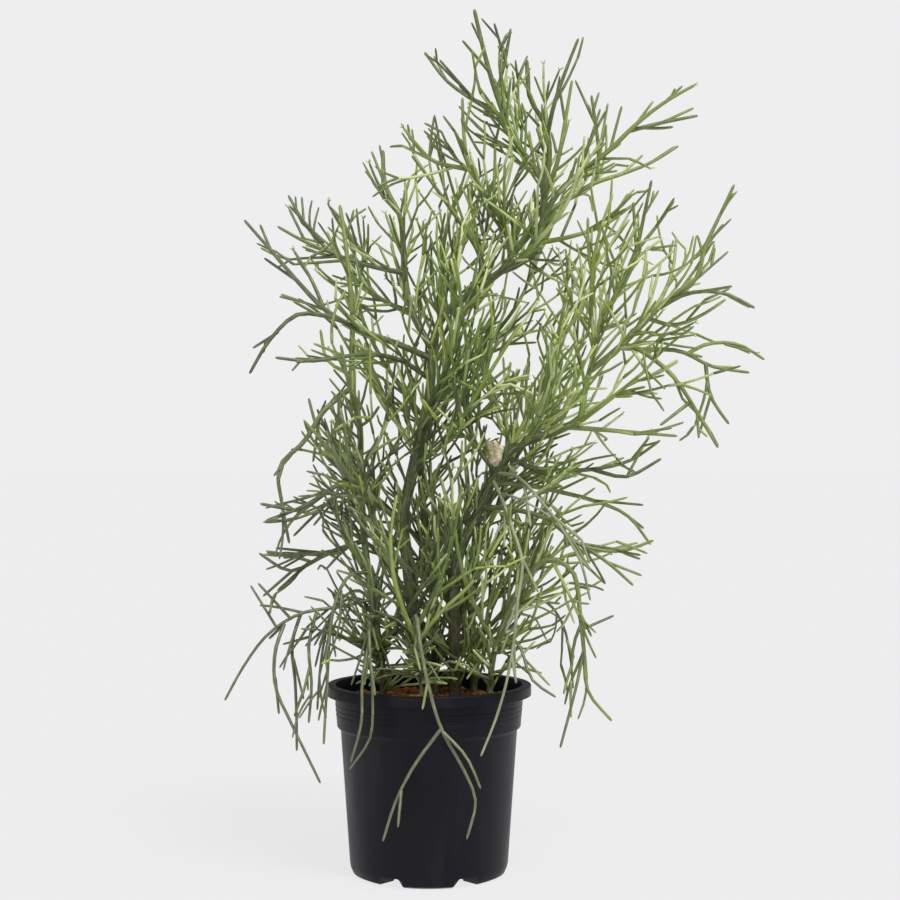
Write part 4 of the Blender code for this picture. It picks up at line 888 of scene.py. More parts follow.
class FinePlant(Plant):
    """The same plant, grown on with the twigs that its solids leave out."""

    def __init__(self):
        super().__init__()
        self.grow()
        self.limbs = [twig for twig in self.twigs if is_limb(twig)]
        self.shoots = [twig for twig in self.twigs if not is_limb(twig)]
        self.draw = random.Random(FINE_SEED)
        self.room.gaps = FINE_GAPS

    def fine_line(self, point, heading, length, lift):
        """A line that bows one way all along, with a little sway."""
        draw = self.draw
        sections = max(2, round(length / FINE_SECTION))
        bow = Vector([draw.uniform(-FINE_BOW, FINE_BOW) for _ in range(3)])
        pull = UP * lift * (length / sections / SHOOT_SECTION)
        line = [point]
        for _ in range(sections):
            sway = Vector([draw.uniform(-FINE_SWAY, FINE_SWAY) for _ in range(3)])
            heading = (heading + bow + sway + pull).normalized()
            line.append(line[-1] + heading * (length / sections))
        return line

    def add_fine_twig(self, parent, start, turn, wave, length_share):
        """Grow a fine twig at the first of a few turns where there is room for it."""
        draw = self.draw
        point, parent_heading = start
        length = draw.uniform(*wave.lengths) * length_share
        angle = math.radians(draw.uniform(*wave.angles))
        radius = draw.uniform(*wave.radii)
        radii = (radius, radius * FINE_TIP_SHARE)
        lift = HABITS[parent.habit].lift * between(LOW_LIFT, 1.0, reached(point.z, LIFT_HEIGHTS))
        lift += draw.uniform(-LIFT_SPREAD, LIFT_SPREAD)
        for _ in range(FINE_TRIES):
            line = self.fine_line(point, side_heading(parent_heading, turn, angle), length, lift)
            hides = hides_trunk(line) and draw.random() < BARE_SHARE
            if not hides and within_box(line) and leaves_gaps(line) and self.fits(parent.stem, line, radii):
                twig = Twig(parent.stem, line, tapered(line, *radii), parent.habit)
                return [self.settle(twig, radii)]
            turn += GOLDEN_TURN
            length *= RETRY_SHRINK
        return []

    def grow_along(self, parents, wave):
        """Set fine twigs along all the parents and return them."""
        draw = self.draw
        grown = []
        for parent in parents:
            habit_share = HABIT_GROWTH.get(parent.habit, 1.0)
            for point, heading, share in list(walk(parent.line, wave.spacing))[1:-1]:
                if point.z < LOWEST_FINE_START:
                    continue
                chance = wave.grows * habit_share * lushness(point)
                chance *= between(1.0, LIMB_END_GROWTH, share ** 2)
                length_share = between(1.0, LIMB_END_LENGTH, share)
                turn = draw.uniform(0.0, math.tau)
                if draw.random() < chance:
                    grown += self.add_fine_twig(parent, (point, heading), turn, wave, length_share)
        return grown

    def grow_thicket(self, limbs, starts):
        """Fill the space just above the soil with short twigs off the feet of these limbs."""
        draw = self.draw
        grown = []
        for limb in limbs:
            for point, heading, _ in walk(limb.line, THICKET_WAVE.spacing):
                over_soil = math.hypot(point.x, point.y) < THICKET_REACH
                if over_soil and LOWEST_FINE_START < point.z < THICKET_TOP:
                    for _ in range(starts):
                        turn = draw.uniform(0.0, math.tau)
                        if draw.random() < THICKET_WAVE.grows:
                            grown += self.add_fine_twig(limb, (point, heading), turn, THICKET_WAVE, 1.0)
        return grown

    def fork_ends(self, parents, wave):
        """Fork the ends of the parents in two and return the new twigs."""
        draw = self.draw
        grown = []
        for parent in parents:
            heading = (parent.line[-1] - parent.line[-2]).normalized()
            start = (parent.line[-1] - heading * FORK_BACK, heading)
            turn = draw.uniform(0.0, math.tau)
            chance = wave.grows * min(1.0, lushness(start[0]) * FORK_GROWTH)
            chance *= HABIT_GROWTH.get(parent.habit, 1.0)
            for side in range(2):
                if draw.random() < chance:
                    grown += self.add_fine_twig(parent, start, turn + side * math.pi, wave, 1.0)
        return grown

    def grow_on(self):
        """Grow the waves in turn: off limbs and over the soil, forks, off shoots, forks, more thicket."""
        from_limbs = self.grow_along(self.limbs, LIMB_WAVE)
        from_limbs += self.grow_thicket(self.limbs, THICKET_STARTS)
        forks = self.fork_ends(self.shoots + from_limbs, FORK_WAVE)
        from_shoots = self.grow_along(self.shoots + from_limbs, SHOOT_WAVE)
        self.fork_ends(forks + from_shoots, TIP_WAVE)
        bushier = [limb for limb in self.limbs if limb.stem in LAST_THICKET_STEMS]
        self.grow_thicket(bushier, LAST_THICKET_STARTS)
        return self.twigs


def is_limb(twig):
    """True for a limb, and for a shoot so long that it is drawn and grown on like one."""
    return len(twig.radii) > SHOOT_POINTS or twig.radii[0] > SHOOT_RADII[1]


def distance_to_edge(place, start, end):
    """How far a place lies from the straight edge between two others."""
    share = clamped(intersect_point_line(place, start, end)[1])
    return (place - start.lerp(end, share)).length


def outline_inset(place):
    """How far a seen place is from the plant's outline in millimetres, up to where growth is full."""
    inset = FULL_GROWTH_INSET
    for start, end in OUTLINE_EDGES:
        inset = min(inset, distance_to_edge(place, start, end))
    return inset


def lushness(point):
    """How thickly twigs grow there: least at the plant's outline, most well inside it."""
    place = Vector(seen(point))
    growth = between(EDGE_GROWTH, HEART_GROWTH, outline_inset(place) / FULL_GROWTH_INSET)
    for x, z, reach, share in GROWTH_PLACES:
        if (place - Vector((x, z))).length < reach:
            growth *= share
    return growth


def trunk_parts():
    """The bare trunks' parts as the viewer sees them: x, z and depth at both ends, in millimetres."""
    for stem in BARE_TRUNKS:
        route = LIMBS[stem][0].route
        for start, end in zip(route, route[1:]):
            if end[2] < BARE_TOP:
                yield Vector((start[0], start[2])), Vector((end[0], end[2])), min(start[1], end[1])


TRUNK_PARTS = list(trunk_parts())


def hides_trunk(line):
    """True where a line passes well in front of a bare trunk."""
    for point, _, _ in walk(line, SIGHT_STEP):
        place = Vector(seen(point))
        for start, end, depth in TRUNK_PARTS:
            if point.y / MM < depth - BARE_DEPTH:
                if distance_to_edge(place, start, end) < BARE_REACH:
                    return True
    return False


def leaves_gaps(line):
    """True where a line keeps out of the clearings and passes in front of neither knot nor pot."""
    knot_x, knot_y, knot_z = KNOT_PLACE
    for point, _, _ in walk(line, SIGHT_STEP):
        x, z = seen(point)
        if z < POT_FACE_TOP and POT_FACE_SIDES[0] < x < POT_FACE_SIDES[1] and point.y < POT_FACE_DEPTH:
            return False
        off_knot = max(abs(x - knot_x - KNOT_BARE_SHIFT), abs(z - knot_z))
        if point.y < knot_y * MM and off_knot < KNOT_BARE_REACH:
            return False
        if any(math.hypot(x - middle_x, z - middle_z) < reach
               for reach, middles in CLEARINGS.items() for middle_x, middle_z in middles):
            return False
    return True


def within_box(line):
    """True where a line stays within the solids' box, whose front and back are drawn in unevenly."""
    low, high = cad_box
    tip = line[-1]
    wave = noise.noise(Vector((tip.x, 0.0, tip.z)) * DEPTH_WAVE_SCALE)
    ease = DEPTH_EASE * max(0.0, 1.0 + DEPTH_EASE_WAVE * wave)
    if not low[1] - BOX_MARGIN + ease < tip.y < high[1] + BOX_MARGIN - ease:
        return False
    return all(low[axis] - BOX_MARGIN < tip[axis] < high[axis] + BOX_MARGIN for axis in (0, 2))


def rings_of(twig, length):
    """A drawn twig's rings, as (distance along it, radius): a collar, an even run and a rounded tip."""
    root, tip = max(twig.radii), twig.radii[-1]
    reach = LIMB_THINNING_REACH if is_limb(twig) else SHOOT_THINNING_REACH
    if is_limb(twig) and twig.habit == "droop":
        reach = DROOPER_THINNING_REACH
        root *= DROOPER_SLIMNESS
        tip *= DROOPER_SLIMNESS

    def radius_at(distance):
        thinned = clamped((length - distance) / reach)
        return between(root, tip, distance / length) * between(THINNED_TIP, 1.0, thinned)

    first = min(COLLAR_LENGTH, length * SHORTEST_END_SHARE)
    last = length - min(TIP_LENGTH, length * SHORTEST_END_SHARE)
    steps = max(1, round((last - first) / RING_SPACING))
    run = [between(first, last, step / steps) for step in range(steps + 1)]
    rings = [(0.0, root * COLLAR_SHARE)]
    rings += [(distance, radius_at(distance)) for distance in run[:-1]]
    rings += [(between(last, length, share), radius_at(last) * width) for share, width in TIP_SHAPE]
    return rings


def facing(heading):
    """The turn that brings the Z axis to a heading."""
    return heading.to_track_quat("Z", "Y").to_matrix().to_4x4()


def draw_twig(twig, tone):
    """A twig as a closed round tube with its own bmesh, and its colours held at its corners."""
    line = smooth_line(twig.line, CURVE_STEPS)
    lengths = section_lengths(line)
    length = sum(lengths)
    rings = rings_of(twig, length)
    places = list(places_along(line, lengths, [distance for distance, _ in rings]))
    bm = bmesh.new()
    skin = bm.verts.layers.float_vector.new("skin")
    tints = {name: bm.verts.layers.float.new(name) for name in ("light", "grey", "pale", "woody")}
    sides = LIMB_RING_SIDES if max(twig.radii) > LIMB_RADIUS_FROM else TWIG_RING_SIDES
    start, heading = places[0]
    root = Matrix.Translation(start) @ facing(heading)
    bmesh.ops.create_circle(bm, cap_ends=True, radius=rings[0][1], segments=sides)
    for vert in bm.verts:
        vert[skin] = vert.co.copy()
    bmesh.ops.transform(bm, verts=bm.verts, matrix=root)
    end = list(bm.faces)
    ring = list(bm.verts)
    edge = 1.0 - clamped(outline_inset(Vector(seen(twig.line[-1]))) / EDGE_REACH)
    for index, ((point, next_heading), (distance, radius)) in enumerate(zip(places, rings)):
        if index > 0:
            drawn = bmesh.ops.extrude_face_region(bm, geom=end)
            if index > 1:
                bmesh.ops.delete(bm, geom=end, context="FACES_ONLY")
            end = [item for item in drawn["geom"] if isinstance(item, bmesh.types.BMFace)]
            ring = [item for item in drawn["geom"] if isinstance(item, bmesh.types.BMVert)]
            turn = heading.rotation_difference(next_heading).to_matrix().to_4x4()
            size = Matrix.Scale(radius / rings[index - 1][1], 4)
            bmesh.ops.transform(bm, verts=ring, matrix=Matrix.Translation(point) @ turn @ size
                                @ Matrix.Translation(-places[index - 1][0]))
            heading = next_heading
        # The freshness value carries painted light as well as young growth: lighter at the top and the
        # right, darker at the left.
        fresh_and_lit = freshness_and_painted_light(point, distance / length)
        values = {
            "light": lightness(tone, fresh_and_lit, point, radius) * (1.0 - EDGE_DARKNESS * edge),
            "grey": clamped(greyness(twig, tone, fresh_and_lit) + EDGE_GREYNESS * edge),
            "pale": PALE_DROOPERS.get(twig.stem, 0.0) if twig.habit == "droop" else 0.0,
            "woody": woodiness(radius, point, distance),
        }
        for vert in ring:
            vert[skin].z = distance + tone
            for name, tint in tints.items():
                vert[tint] = values[name]
    bmesh.ops.recalc_face_normals(bm, faces=bm.faces)
    return bm


def felt(effect, value):
    """How much of an effect is felt at a value."""
    return effect.most * reached(value, effect.span)


def freshness_and_painted_light(point, share):
    """How bright and yellow a green is there, partly fresh growth and partly painted light: most in the
    crown and at the right, where the key light falls, least at the left, and towards tips.
    """
    # Painted light: the top and the right are painted lighter and the left darker, where the key light
    # falls and doesn't.
    sides = felt(RIGHT_FRESHNESS_AND_LIGHT, point.x) + felt(LEFT_AGE_AND_SHADE, point.x)
    return clamped(FRESH_LEAST + felt(UP_FRESHNESS_AND_LIGHT, point.z) + sides + FRESH_TIP * share)


def shade_at(point):
    """How dull and dark a twig is there: most near the plant's heart, where little light comes."""
    out = math.hypot(point.x - felt(HEART_LEAN, point.z), point.y)
    shade = clamped(1.0 - out / HEART_REACH)
    return shade * between(LOW_SHADE, 1.0, reached(point.z, SHADE_HEIGHTS))


def lightness(tone, fresh_and_lit, point, radius):
    """How light a green is: each twig has its own tone, freshness brings painted light to the crown and the
    right, and thick stems and shaded ones are darker.
    """
    light = LEAST_LIGHT + TONE_LIGHT * tone ** TONE_POWER + FRESH_AND_PAINTED_LIGHT * fresh_and_lit
    light = clamped(light - SHADE_DARKNESS * shade_at(point))
    return light * between(1.0, THICK_LIGHT, reached(radius, THICK_RADII))


def greyness(twig, tone, fresh_and_lit):
    """How grey a green is: where growth is old, some twigs are far greyer than others."""
    if twig.habit == "droop" and is_limb(twig):
        return DROOPER_GREYNESS
    most = between(OLD_GREYNESS, FRESH_GREYNESS, reached(fresh_and_lit, AGE_SPAN))
    return clamped(most * (tone * GREY_SHUFFLE % 1.0))


def woodiness(radius, point, distance):
    """How far a stem has turned to bark there: near the soil where it is thick, and a trace at a joint."""
    joint = JOINT_WOOD if distance < COLLAR_LENGTH else 0.0
    return max(reached(point.z, WOODY_HEIGHTS) * reached(radius, WOODY_RADII), joint)


def draw_stem(stem, twigs):
    """One stem with all its twigs, as one piece in place of the stem's solid."""
    draw = random.Random(stem)
    whole = bmesh.new()
    for twig in twigs:
        mesh = finished_mesh("twig", draw_twig(twig, draw.random()))
        whole.from_mesh(mesh)
        bpy.data.meshes.remove(mesh)
    piece = make_piece(stem + "_twigs", whole, twig_skin)
    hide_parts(stem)


def finished_mesh(name, bm):
    """Turn a bmesh into a mesh, and free it."""
    mesh = bpy.data.meshes.new(name)
    bm.to_mesh(mesh)
    bm.free()
    return mesh


def add_to_scene(name, data):
    """Put a new object with this mesh, light or camera in the scene."""
    thing = bpy.data.objects.new(name, data)
    bpy.context.scene.collection.objects.link(thing)
    return thing


def make_piece(name, bm, material, smooth=True):
    """Turn a bmesh into a piece of the plant or its pot."""
    mesh = finished_mesh(name, bm)
    if smooth:
        mesh.shade_smooth()
    mesh.materials.append(material)
    piece = add_to_scene(name, mesh)
    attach(piece, "root")
    return piece


class Finish:
    """A material's nodes, with short ways to add and join them."""

    def __init__(self, name, specular=0.5):
        self.material = bpy.data.materials.new(name)
        self.material.use_nodes = True
        self.tree = self.material.node_tree
        self.surface = self.tree.nodes["Principled BSDF"]
        self.surface.inputs["Specular IOR Level"].default_value = specular
        self.object_place = self.add("ShaderNodeTexCoord").outputs["Object"]

    def add(self, kind, settings=None, **inputs):
        node = self.tree.nodes.new(kind)
        for name, value in (settings or {}).items():
            setattr(node, name, value)
        for name, value in inputs.items():
            self.set(node.inputs[name.replace("_", " ")], value)
        return node

    def set(self, socket, value):
        if isinstance(value, bpy.types.NodeSocket):
            self.tree.links.new(value, socket)
        else:
            socket.default_value = value

    def attribute(self, name, output="Fac"):
        return self.add("ShaderNodeAttribute", {"attribute_name": name}).outputs[output]

    def noise(self, scale, detail=3.0, roughness=0.55, place=None):
        node = self.add("ShaderNodeTexNoise", Vector=place or self.object_place, Scale=scale,
                        Detail=detail, Roughness=roughness)
        return node.outputs["Fac"]

    def stretched(self, place, x, y, z):
        """A place read at another scale along each axis."""
        return self.add("ShaderNodeMapping", Vector=place, Scale=(x, y, z)).outputs["Vector"]

    def spots(self, scale, place=None):
        node = self.add("ShaderNodeTexVoronoi", Vector=place or self.object_place, Scale=scale)
        return node.outputs["Distance"]

    def levels(self, value, low, high, to_low=0.0, to_high=1.0):
        """Stretch a value's range, smoothly, onto another."""
        node = self.add("ShaderNodeMapRange", {"interpolation_type": "SMOOTHSTEP"}, Value=value,
                        From_Min=low, From_Max=high, To_Min=to_low, To_Max=to_high)
        return node.outputs["Result"]

    def joined(self, operation, first, second):
        node = self.add("ShaderNodeMath", {"operation": operation})
        self.set(node.inputs[0], first)
        self.set(node.inputs[1], second)
        return node.outputs[0]

    def sum(self, first, second):
        return self.joined("ADD", first, second)

    def product(self, first, second):
        return self.joined("MULTIPLY", first, second)

    def mixed(self, share, first, second):
        """Mix two colours."""
        node = self.add("ShaderNodeMix", {"data_type": "RGBA"})
        self.set(node.inputs[0], share)
        self.set(node.inputs[6], first)
        self.set(node.inputs[7], second)
        return node.outputs[2]

    def ramp(self, value, stops):
        """A colour that runs through the stops, each a place from 0 to 1 and a colour."""
        node = self.add("ShaderNodeValToRGB", Fac=value)
        elements = node.color_ramp.elements
        for element, (place, shade) in zip(elements, (stops[0], stops[-1])):
            element.position = place
            element.color = shade
        for place, shade in stops[1:-1]:
            elements.new(place).color = shade
        return node.outputs["Color"]

    def bumped(self, height, distance, strength=1.0):
        node = self.add("ShaderNodeBump", Height=height, Distance=distance, Strength=strength)
        self.set(self.surface.inputs["Normal"], node.outputs["Normal"])

    def coloured(self, shade):
        self.set(self.surface.inputs["Base Color"], shade)

    def rough(self, value):
        self.set(self.surface.inputs["Roughness"], value)


# Twig colours, from the oldest and most shaded to the youngest
TWIG_COLOURS = (
    (0.00, DEEP_GREEN),
    (0.18, ASH_GREEN),
    (0.38, MOSS_GREEN),
    (0.62, FRESH_GREEN),
    (0.84, YELLOW_GREEN),
    (1.00, PALE_GREEN),
)


def make_twig_skin():
    """Waxy green skin, fresher or greyer by place and painted lighter or darker by place, with fine
    streaks, scars and bark at the foot.
    """
    finish = Finish("twig_skin", 0.42)
    skin = finish.attribute("skin", "Vector")
    patches = finish.noise(38.0, 2.0)
    green = finish.ramp(finish.attribute("light"), TWIG_COLOURS)
    green = finish.mixed(finish.attribute("grey"), green, GREY_GREEN)
    green = finish.mixed(finish.attribute("pale"), green, SAGE_GREEN)
    green = finish.mixed(finish.levels(patches, 0.45, 0.75, to_high=0.4), green, ASH_GREEN)
    streaks = finish.noise(900.0, 3.0, place=finish.stretched(skin, 1.0, 1.0, 0.12))
    green = finish.mixed(finish.levels(streaks, 0.45, 0.75, to_high=0.35), green, PALE_GREEN)
    scars = finish.spots(210.0, finish.stretched(skin, 1.0, 1.0, 0.55))
    scar_share = finish.levels(scars, 0.06, 0.16, to_low=0.7, to_high=0.0)
    green = finish.mixed(scar_share, green, SCAR_BROWN)
    bark_grain = finish.noise(420.0, 5.0, 0.7, finish.stretched(skin, 1.0, 1.0, 0.22))
    bark = finish.mixed(finish.levels(bark_grain, 0.35, 0.65), BARK_DARK, BARK_PALE)
    woody = finish.sum(finish.attribute("woody"), finish.levels(patches, 0.3, 0.7, -0.12, 0.12))
    woody = finish.levels(woody, 0.15, 0.75)
    finish.coloured(finish.mixed(woody, green, bark))
    finish.rough(finish.levels(woody, 0.0, 1.0, to_low=0.46, to_high=0.85))
    relief = finish.sum(streaks, finish.product(bark_grain, finish.product(woody, 3.0)))
    relief = finish.sum(relief, finish.product(scar_share, 0.6))
    finish.bumped(relief, 0.00022, 0.7)
    return finish.material


def make_leaf_green():
    """Thin, slightly glossy young leaves."""
    finish = Finish("leaf_green")
    finish.rough(0.45)
    finish.coloured(finish.mixed(finish.levels(finish.noise(160.0), 0.35, 0.65), LEAF_GREEN, PALE_GREEN))
    finish.bumped(finish.noise(1400.0), 0.0001)
    return finish.material


def make_knot_wood():
    """Tan callus wood with darker cracks."""
    finish = Finish("knot_wood", 0.3)
    finish.rough(0.8)
    across = finish.add("ShaderNodeSeparateXYZ", Vector=finish.object_place).outputs["X"]
    middle = placed(KNOT_PLACE).x
    side = finish.levels(across, middle - 0.004, middle + 0.006)
    patches = finish.levels(finish.noise(150.0, 2.0), 0.38, 0.62, -0.35, 0.35)
    cracks = finish.noise(420.0, 5.0, 0.7)
    shares = finish.sum(finish.sum(side, patches), finish.levels(cracks, 0.35, 0.65, -0.3, 0.3))
    finish.coloured(finish.mixed(shares, KNOT_BROWN, KNOT_TAN))
    finish.bumped(cracks, 0.0005, 0.7)
    return finish.material


def make_pot_plastic():
    """Near-black moulded plastic, satin, with a fine grain, faint scuffs and a trace of dust."""
    finish = Finish("pot_plastic", 0.18)
    place = finish.object_place
    scuffs = finish.noise(26.0, 6.0, 0.65, finish.stretched(place, 1.0, 1.0, 0.35))
    specks = finish.levels(finish.noise(900.0, 2.0), 0.64, 0.74)
    dust = finish.sum(finish.levels(scuffs, 0.46, 0.78, to_high=0.10), finish.product(specks, 0.06))
    finish.coloured(finish.mixed(dust, POT_BLACK, POT_DUST))
    finish.rough(finish.levels(scuffs, 0.3, 0.7, to_low=0.36, to_high=0.50))
    finish.bumped(finish.noise(1500.0, 2.0), 0.00006, 0.5)
    return finish.material


def make_potting_mix():
    """Dark, crumbly, fibrous peat."""
    finish = Finish("potting_mix", 0.2)
    finish.rough(0.95)
    crumbs = finish.noise(320.0, 6.0, 0.7)
    fibres = finish.noise(700.0, 4.0, 0.6, finish.stretched(finish.object_place, 1.0, 0.25, 1.0))
    ground = finish.mixed(finish.levels(crumbs, 0.35, 0.70), SOIL_DARK, SOIL_BROWN)
    finish.coloured(finish.mixed(finish.levels(fibres, 0.60, 0.72, to_high=0.5), ground, CHIP_BROWN))
    finish.bumped(finish.sum(crumbs, fibres), 0.0012, 0.9)
    return finish.material


def make_chip_bark():
    """Bark chips, from dark brown to orange, each with its own shade."""
    finish = Finish("chip_bark", 0.25)
    finish.rough(0.85)
    grain = finish.noise(900.0, 4.0, 0.65)
    bark = finish.mixed(finish.attribute("tone"), CHIP_BROWN, CHIP_ORANGE)
    finish.coloured(finish.mixed(finish.levels(grain, 0.40, 0.68, to_high=0.6), bark, SOIL_DARK))
    finish.bumped(grain, 0.0003, 0.8)
    return finish.material


def turned(profile, sides):
    """Turn a profile of (radius, height) pairs, closed at the axis, once round the Z axis."""
    bm = bmesh.new()
    verts = [bm.verts.new((0.0, -radius, height)) for radius, height in profile]
    edges = [bm.edges.new(pair) for pair in zip(verts, verts[1:])]
    bmesh.ops.spin(bm, geom=verts + edges, axis=UP, cent=(0, 0, 0), angle=math.tau, steps=sides)
    bmesh.ops.remove_doubles(bm, verts=bm.verts, dist=MERGE_DISTANCE)
    bmesh.ops.recalc_face_normals(bm, faces=bm.faces)
    return bm


def band_radius(height):
    """The outer radius of the pot's band at a height."""
    share = (height - BAND_FOOT_HEIGHT) / (POT_HEIGHT - LIP_WALL - BAND_FOOT_HEIGHT)
    return between(BAND_FOOT_RADIUS, BAND_TOP_RADIUS, share)


def ring_line(height):
    """The profile of a faint raised ring on the band."""
    reach = RING_LINE_HALF_WIDTH
    return [
        (band_radius(height - reach), height - reach),
        (band_radius(height) + RING_LINE_RELIEF, height - reach * RING_LINE_FLAT),
        (band_radius(height) + RING_LINE_RELIEF, height + reach * RING_LINE_FLAT),
        (band_radius(height + reach), height + reach),
    ]


def draw_pot():
    """The nursery pot with rounded edges, ring lines on its band and its inside down to the soil."""
    skirt_foot = POT_HEIGHT - LIP_DEPTH
    lip_under = POT_HEIGHT - LIP_WALL
    mouth = BAND_TOP_RADIUS - WALL
    rings = [point for height in RING_LINE_HEIGHTS for point in ring_line(height)]
    body = [(between(BODY_FOOT_RADIUS, BODY_TOP_RADIUS, share),
             between(BODY_FOOT_HEIGHT, BODY_TOP_HEIGHT, share)) for share in BODY_RING_SHARES]
    bm = turned([
        (0.0, 0.0),
        (DISC_RADIUS - DISC_ROUND, 0.0),
        (DISC_RADIUS, DISC_ROUND_HEIGHT),
        (DISC_RADIUS + FLANK, BASE_RISE),
        (FOOT_INNER_RADIUS - FLANK, BASE_RISE),
        (FOOT_INNER_RADIUS, 0.0),
        (FOOT_OUTER_RADIUS, 0.0),
        (FOOT_ROUND_RADIUS, FOOT_ROUND_HEIGHT),
        (BODY_FOOT_RADIUS, BODY_FOOT_HEIGHT),
        *body,
        (BODY_TOP_RADIUS + BAND_ROUND, BODY_TOP_HEIGHT),
        (BAND_FOOT_RADIUS - BAND_ROUND, BAND_FOOT_HEIGHT - BAND_ROUND_HEIGHT),
        (BAND_FOOT_RADIUS, BAND_FOOT_HEIGHT + BAND_ROUND_HEIGHT),
        *rings,
        (BAND_TOP_RADIUS, lip_under),
        (LIP_RADIUS - LIP_WALL, lip_under),
        (LIP_RADIUS - LIP_WALL, skirt_foot + SKIRT_ROUND_INSIDE),
        (LIP_RADIUS - LIP_WALL / 2, skirt_foot),
        (LIP_RADIUS, skirt_foot + SKIRT_ROUND_OUTSIDE),
        (LIP_RADIUS, POT_HEIGHT - LIP_FLAT_FROM),
        (LIP_RADIUS - LIP_ROUND * ROUND_NEAR, POT_HEIGHT - LIP_ROUND),
        (LIP_RADIUS - LIP_ROUND, POT_HEIGHT - LIP_ROUND * ROUND_NEAR),
        (LIP_RADIUS - LIP_FLAT_FROM, POT_HEIGHT),
        (mouth + LIP_ROUND * ROUND_FAR, POT_HEIGHT),
        (mouth + LIP_ROUND * ROUND_NEAR, POT_HEIGHT - LIP_ROUND * ROUND_NEAR),
        (mouth, POT_HEIGHT - LIP_ROUND * ROUND_FAR),
        (BAND_FOOT_RADIUS - WALL, BAND_FOOT_HEIGHT),
        (BODY_TOP_RADIUS - WALL, BODY_TOP_HEIGHT - WALL),
        (BODY_FOOT_RADIUS - WALL, BASE_RISE + WALL),
        (0.0, BASE_RISE + WALL),
    ], FINE_POT_SIDES)
    for vert in bm.verts:
        out = math.hypot(vert.co.x, vert.co.y)
        around = math.atan2(vert.co.x, -vert.co.y)
        from_notch = around % (math.tau / FEET) - math.pi / FEET
        if out > FOOT_INNER_RADIUS - FLANK and vert.co.z < BASE_RISE and abs(from_notch) < NOTCH_REACH:
            vert.co.z = BASE_RISE
    piece = make_piece("nursery_pot", bm, make_pot_plastic())
    piece.data.set_sharp_from_angle(angle=SMOOTH_ANGLE)
    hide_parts("pot")


def soil_height(x, y):
    """How high the soil lies at a place, with its mound and its crumbs."""
    out = min(1.0, math.hypot(x, y) / BAND_FOOT_RADIUS)
    mound = SOIL_MOUND * math.cos(out * math.pi / 2)
    crumbs = noise.fractal(Vector((x, y, 0.0)) * CRUMB_SCALE, *CRUMB_NOISE)
    lumps = noise.noise(Vector((x, y, LUMP_LAYER)) * LUMP_SCALE)
    return SOIL_EDGE_HEIGHT + mound + (crumbs * CRUMB_SHARE + lumps) * CRUMB_HEIGHT


def draw_soil():
    """The potting mix with a crumbly top, in place of the plain soil."""
    shift = WALL + SOIL_GAP
    edge = band_radius(SOIL_EDGE_HEIGHT) - shift
    top = [(edge * (1.0 - ring / FINE_SOIL_RINGS), SOIL_EDGE_HEIGHT)
           for ring in range(FINE_SOIL_RINGS + 1)]
    bm = turned([
        (0.0, BASE_RISE + shift),
        (BODY_FOOT_RADIUS - shift, BASE_RISE + shift),
        (BODY_TOP_RADIUS - shift, BODY_TOP_HEIGHT - shift),
        (BAND_FOOT_RADIUS - shift, BAND_FOOT_HEIGHT),
        *top,
    ], FINE_SOIL_SIDES)
    for vert in bm.verts:
        if vert.co.z > SOIL_EDGE_HEIGHT - MM:
            vert.co.z = soil_height(vert.co.x, vert.co.y)
    piece = make_piece("potting_mix", bm, make_potting_mix())
    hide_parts("soil")


def draw_chips():
    """Bark chips and grains scattered over the soil, each half sunk in it."""
    draw = random.Random(CHIP_SEED)
    whole = bmesh.new()
    tone = whole.verts.layers.float.new("tone")
    limit = band_radius(SOIL_EDGE_HEIGHT) - WALL - CHIP_SIZES[1]
    for index in range(CHIP_COUNT):
        out = limit * math.sqrt(draw.random())
        around = draw.uniform(0.0, math.tau)
        x, y = out * math.cos(around), out * math.sin(around)
        long = draw.uniform(*CHIP_SIZES) * (1.0 if index % SMALL_CHIP_EVERY else SMALL_CHIP_SHARE)
        size = Vector((long, long * draw.uniform(*CHIP_WIDTHS), long * draw.uniform(*CHIP_DEPTHS)))
        turn = Quaternion(UP, draw.uniform(0.0, math.tau))
        turn = turn @ Quaternion((1, 0, 0), draw.uniform(*CHIP_TILTS))
        height = soil_height(x, y) + size.z * CHIP_RISE
        place = Matrix.Translation((x, y, height)) @ turn.to_matrix().to_4x4()
        made = bmesh.ops.create_icosphere(whole, subdivisions=1, radius=1.0,
                                          matrix=place @ Matrix.Diagonal(size).to_4x4())
        shade = draw.random()
        for vert in made["verts"]:
            vert.co += Vector([draw.uniform(-CHIP_ROUGHNESS, CHIP_ROUGHNESS) * long for _ in range(3)])
            vert[tone] = shade
    make_piece("bark_chips", whole, make_chip_bark(), smooth=False)


def draw_knot():
    """The bumpy woody knot on the right-hand stem."""
    bm = bmesh.new()
    bmesh.ops.create_icosphere(bm, subdivisions=KNOT_DETAIL, radius=1.0)
    for vert in bm.verts:
        lumps = noise.noise(vert.co * KNOT_LUMP_SCALE + Vector(KNOT_LUMP_PLACE)) * KNOT_LUMPS
        grain = noise.fractal(vert.co * KNOT_GRAIN_SCALE, *KNOT_GRAIN_NOISE) * KNOT_GRAIN
        vert.co *= 1.0 + lumps + grain
    place = Matrix.Translation(placed(KNOT_PLACE)) @ Matrix.Diagonal(KNOT_SIZE).to_4x4()
    bmesh.ops.transform(bm, verts=bm.verts, matrix=place)
    make_piece("woody_knot", bm, make_knot_wood())


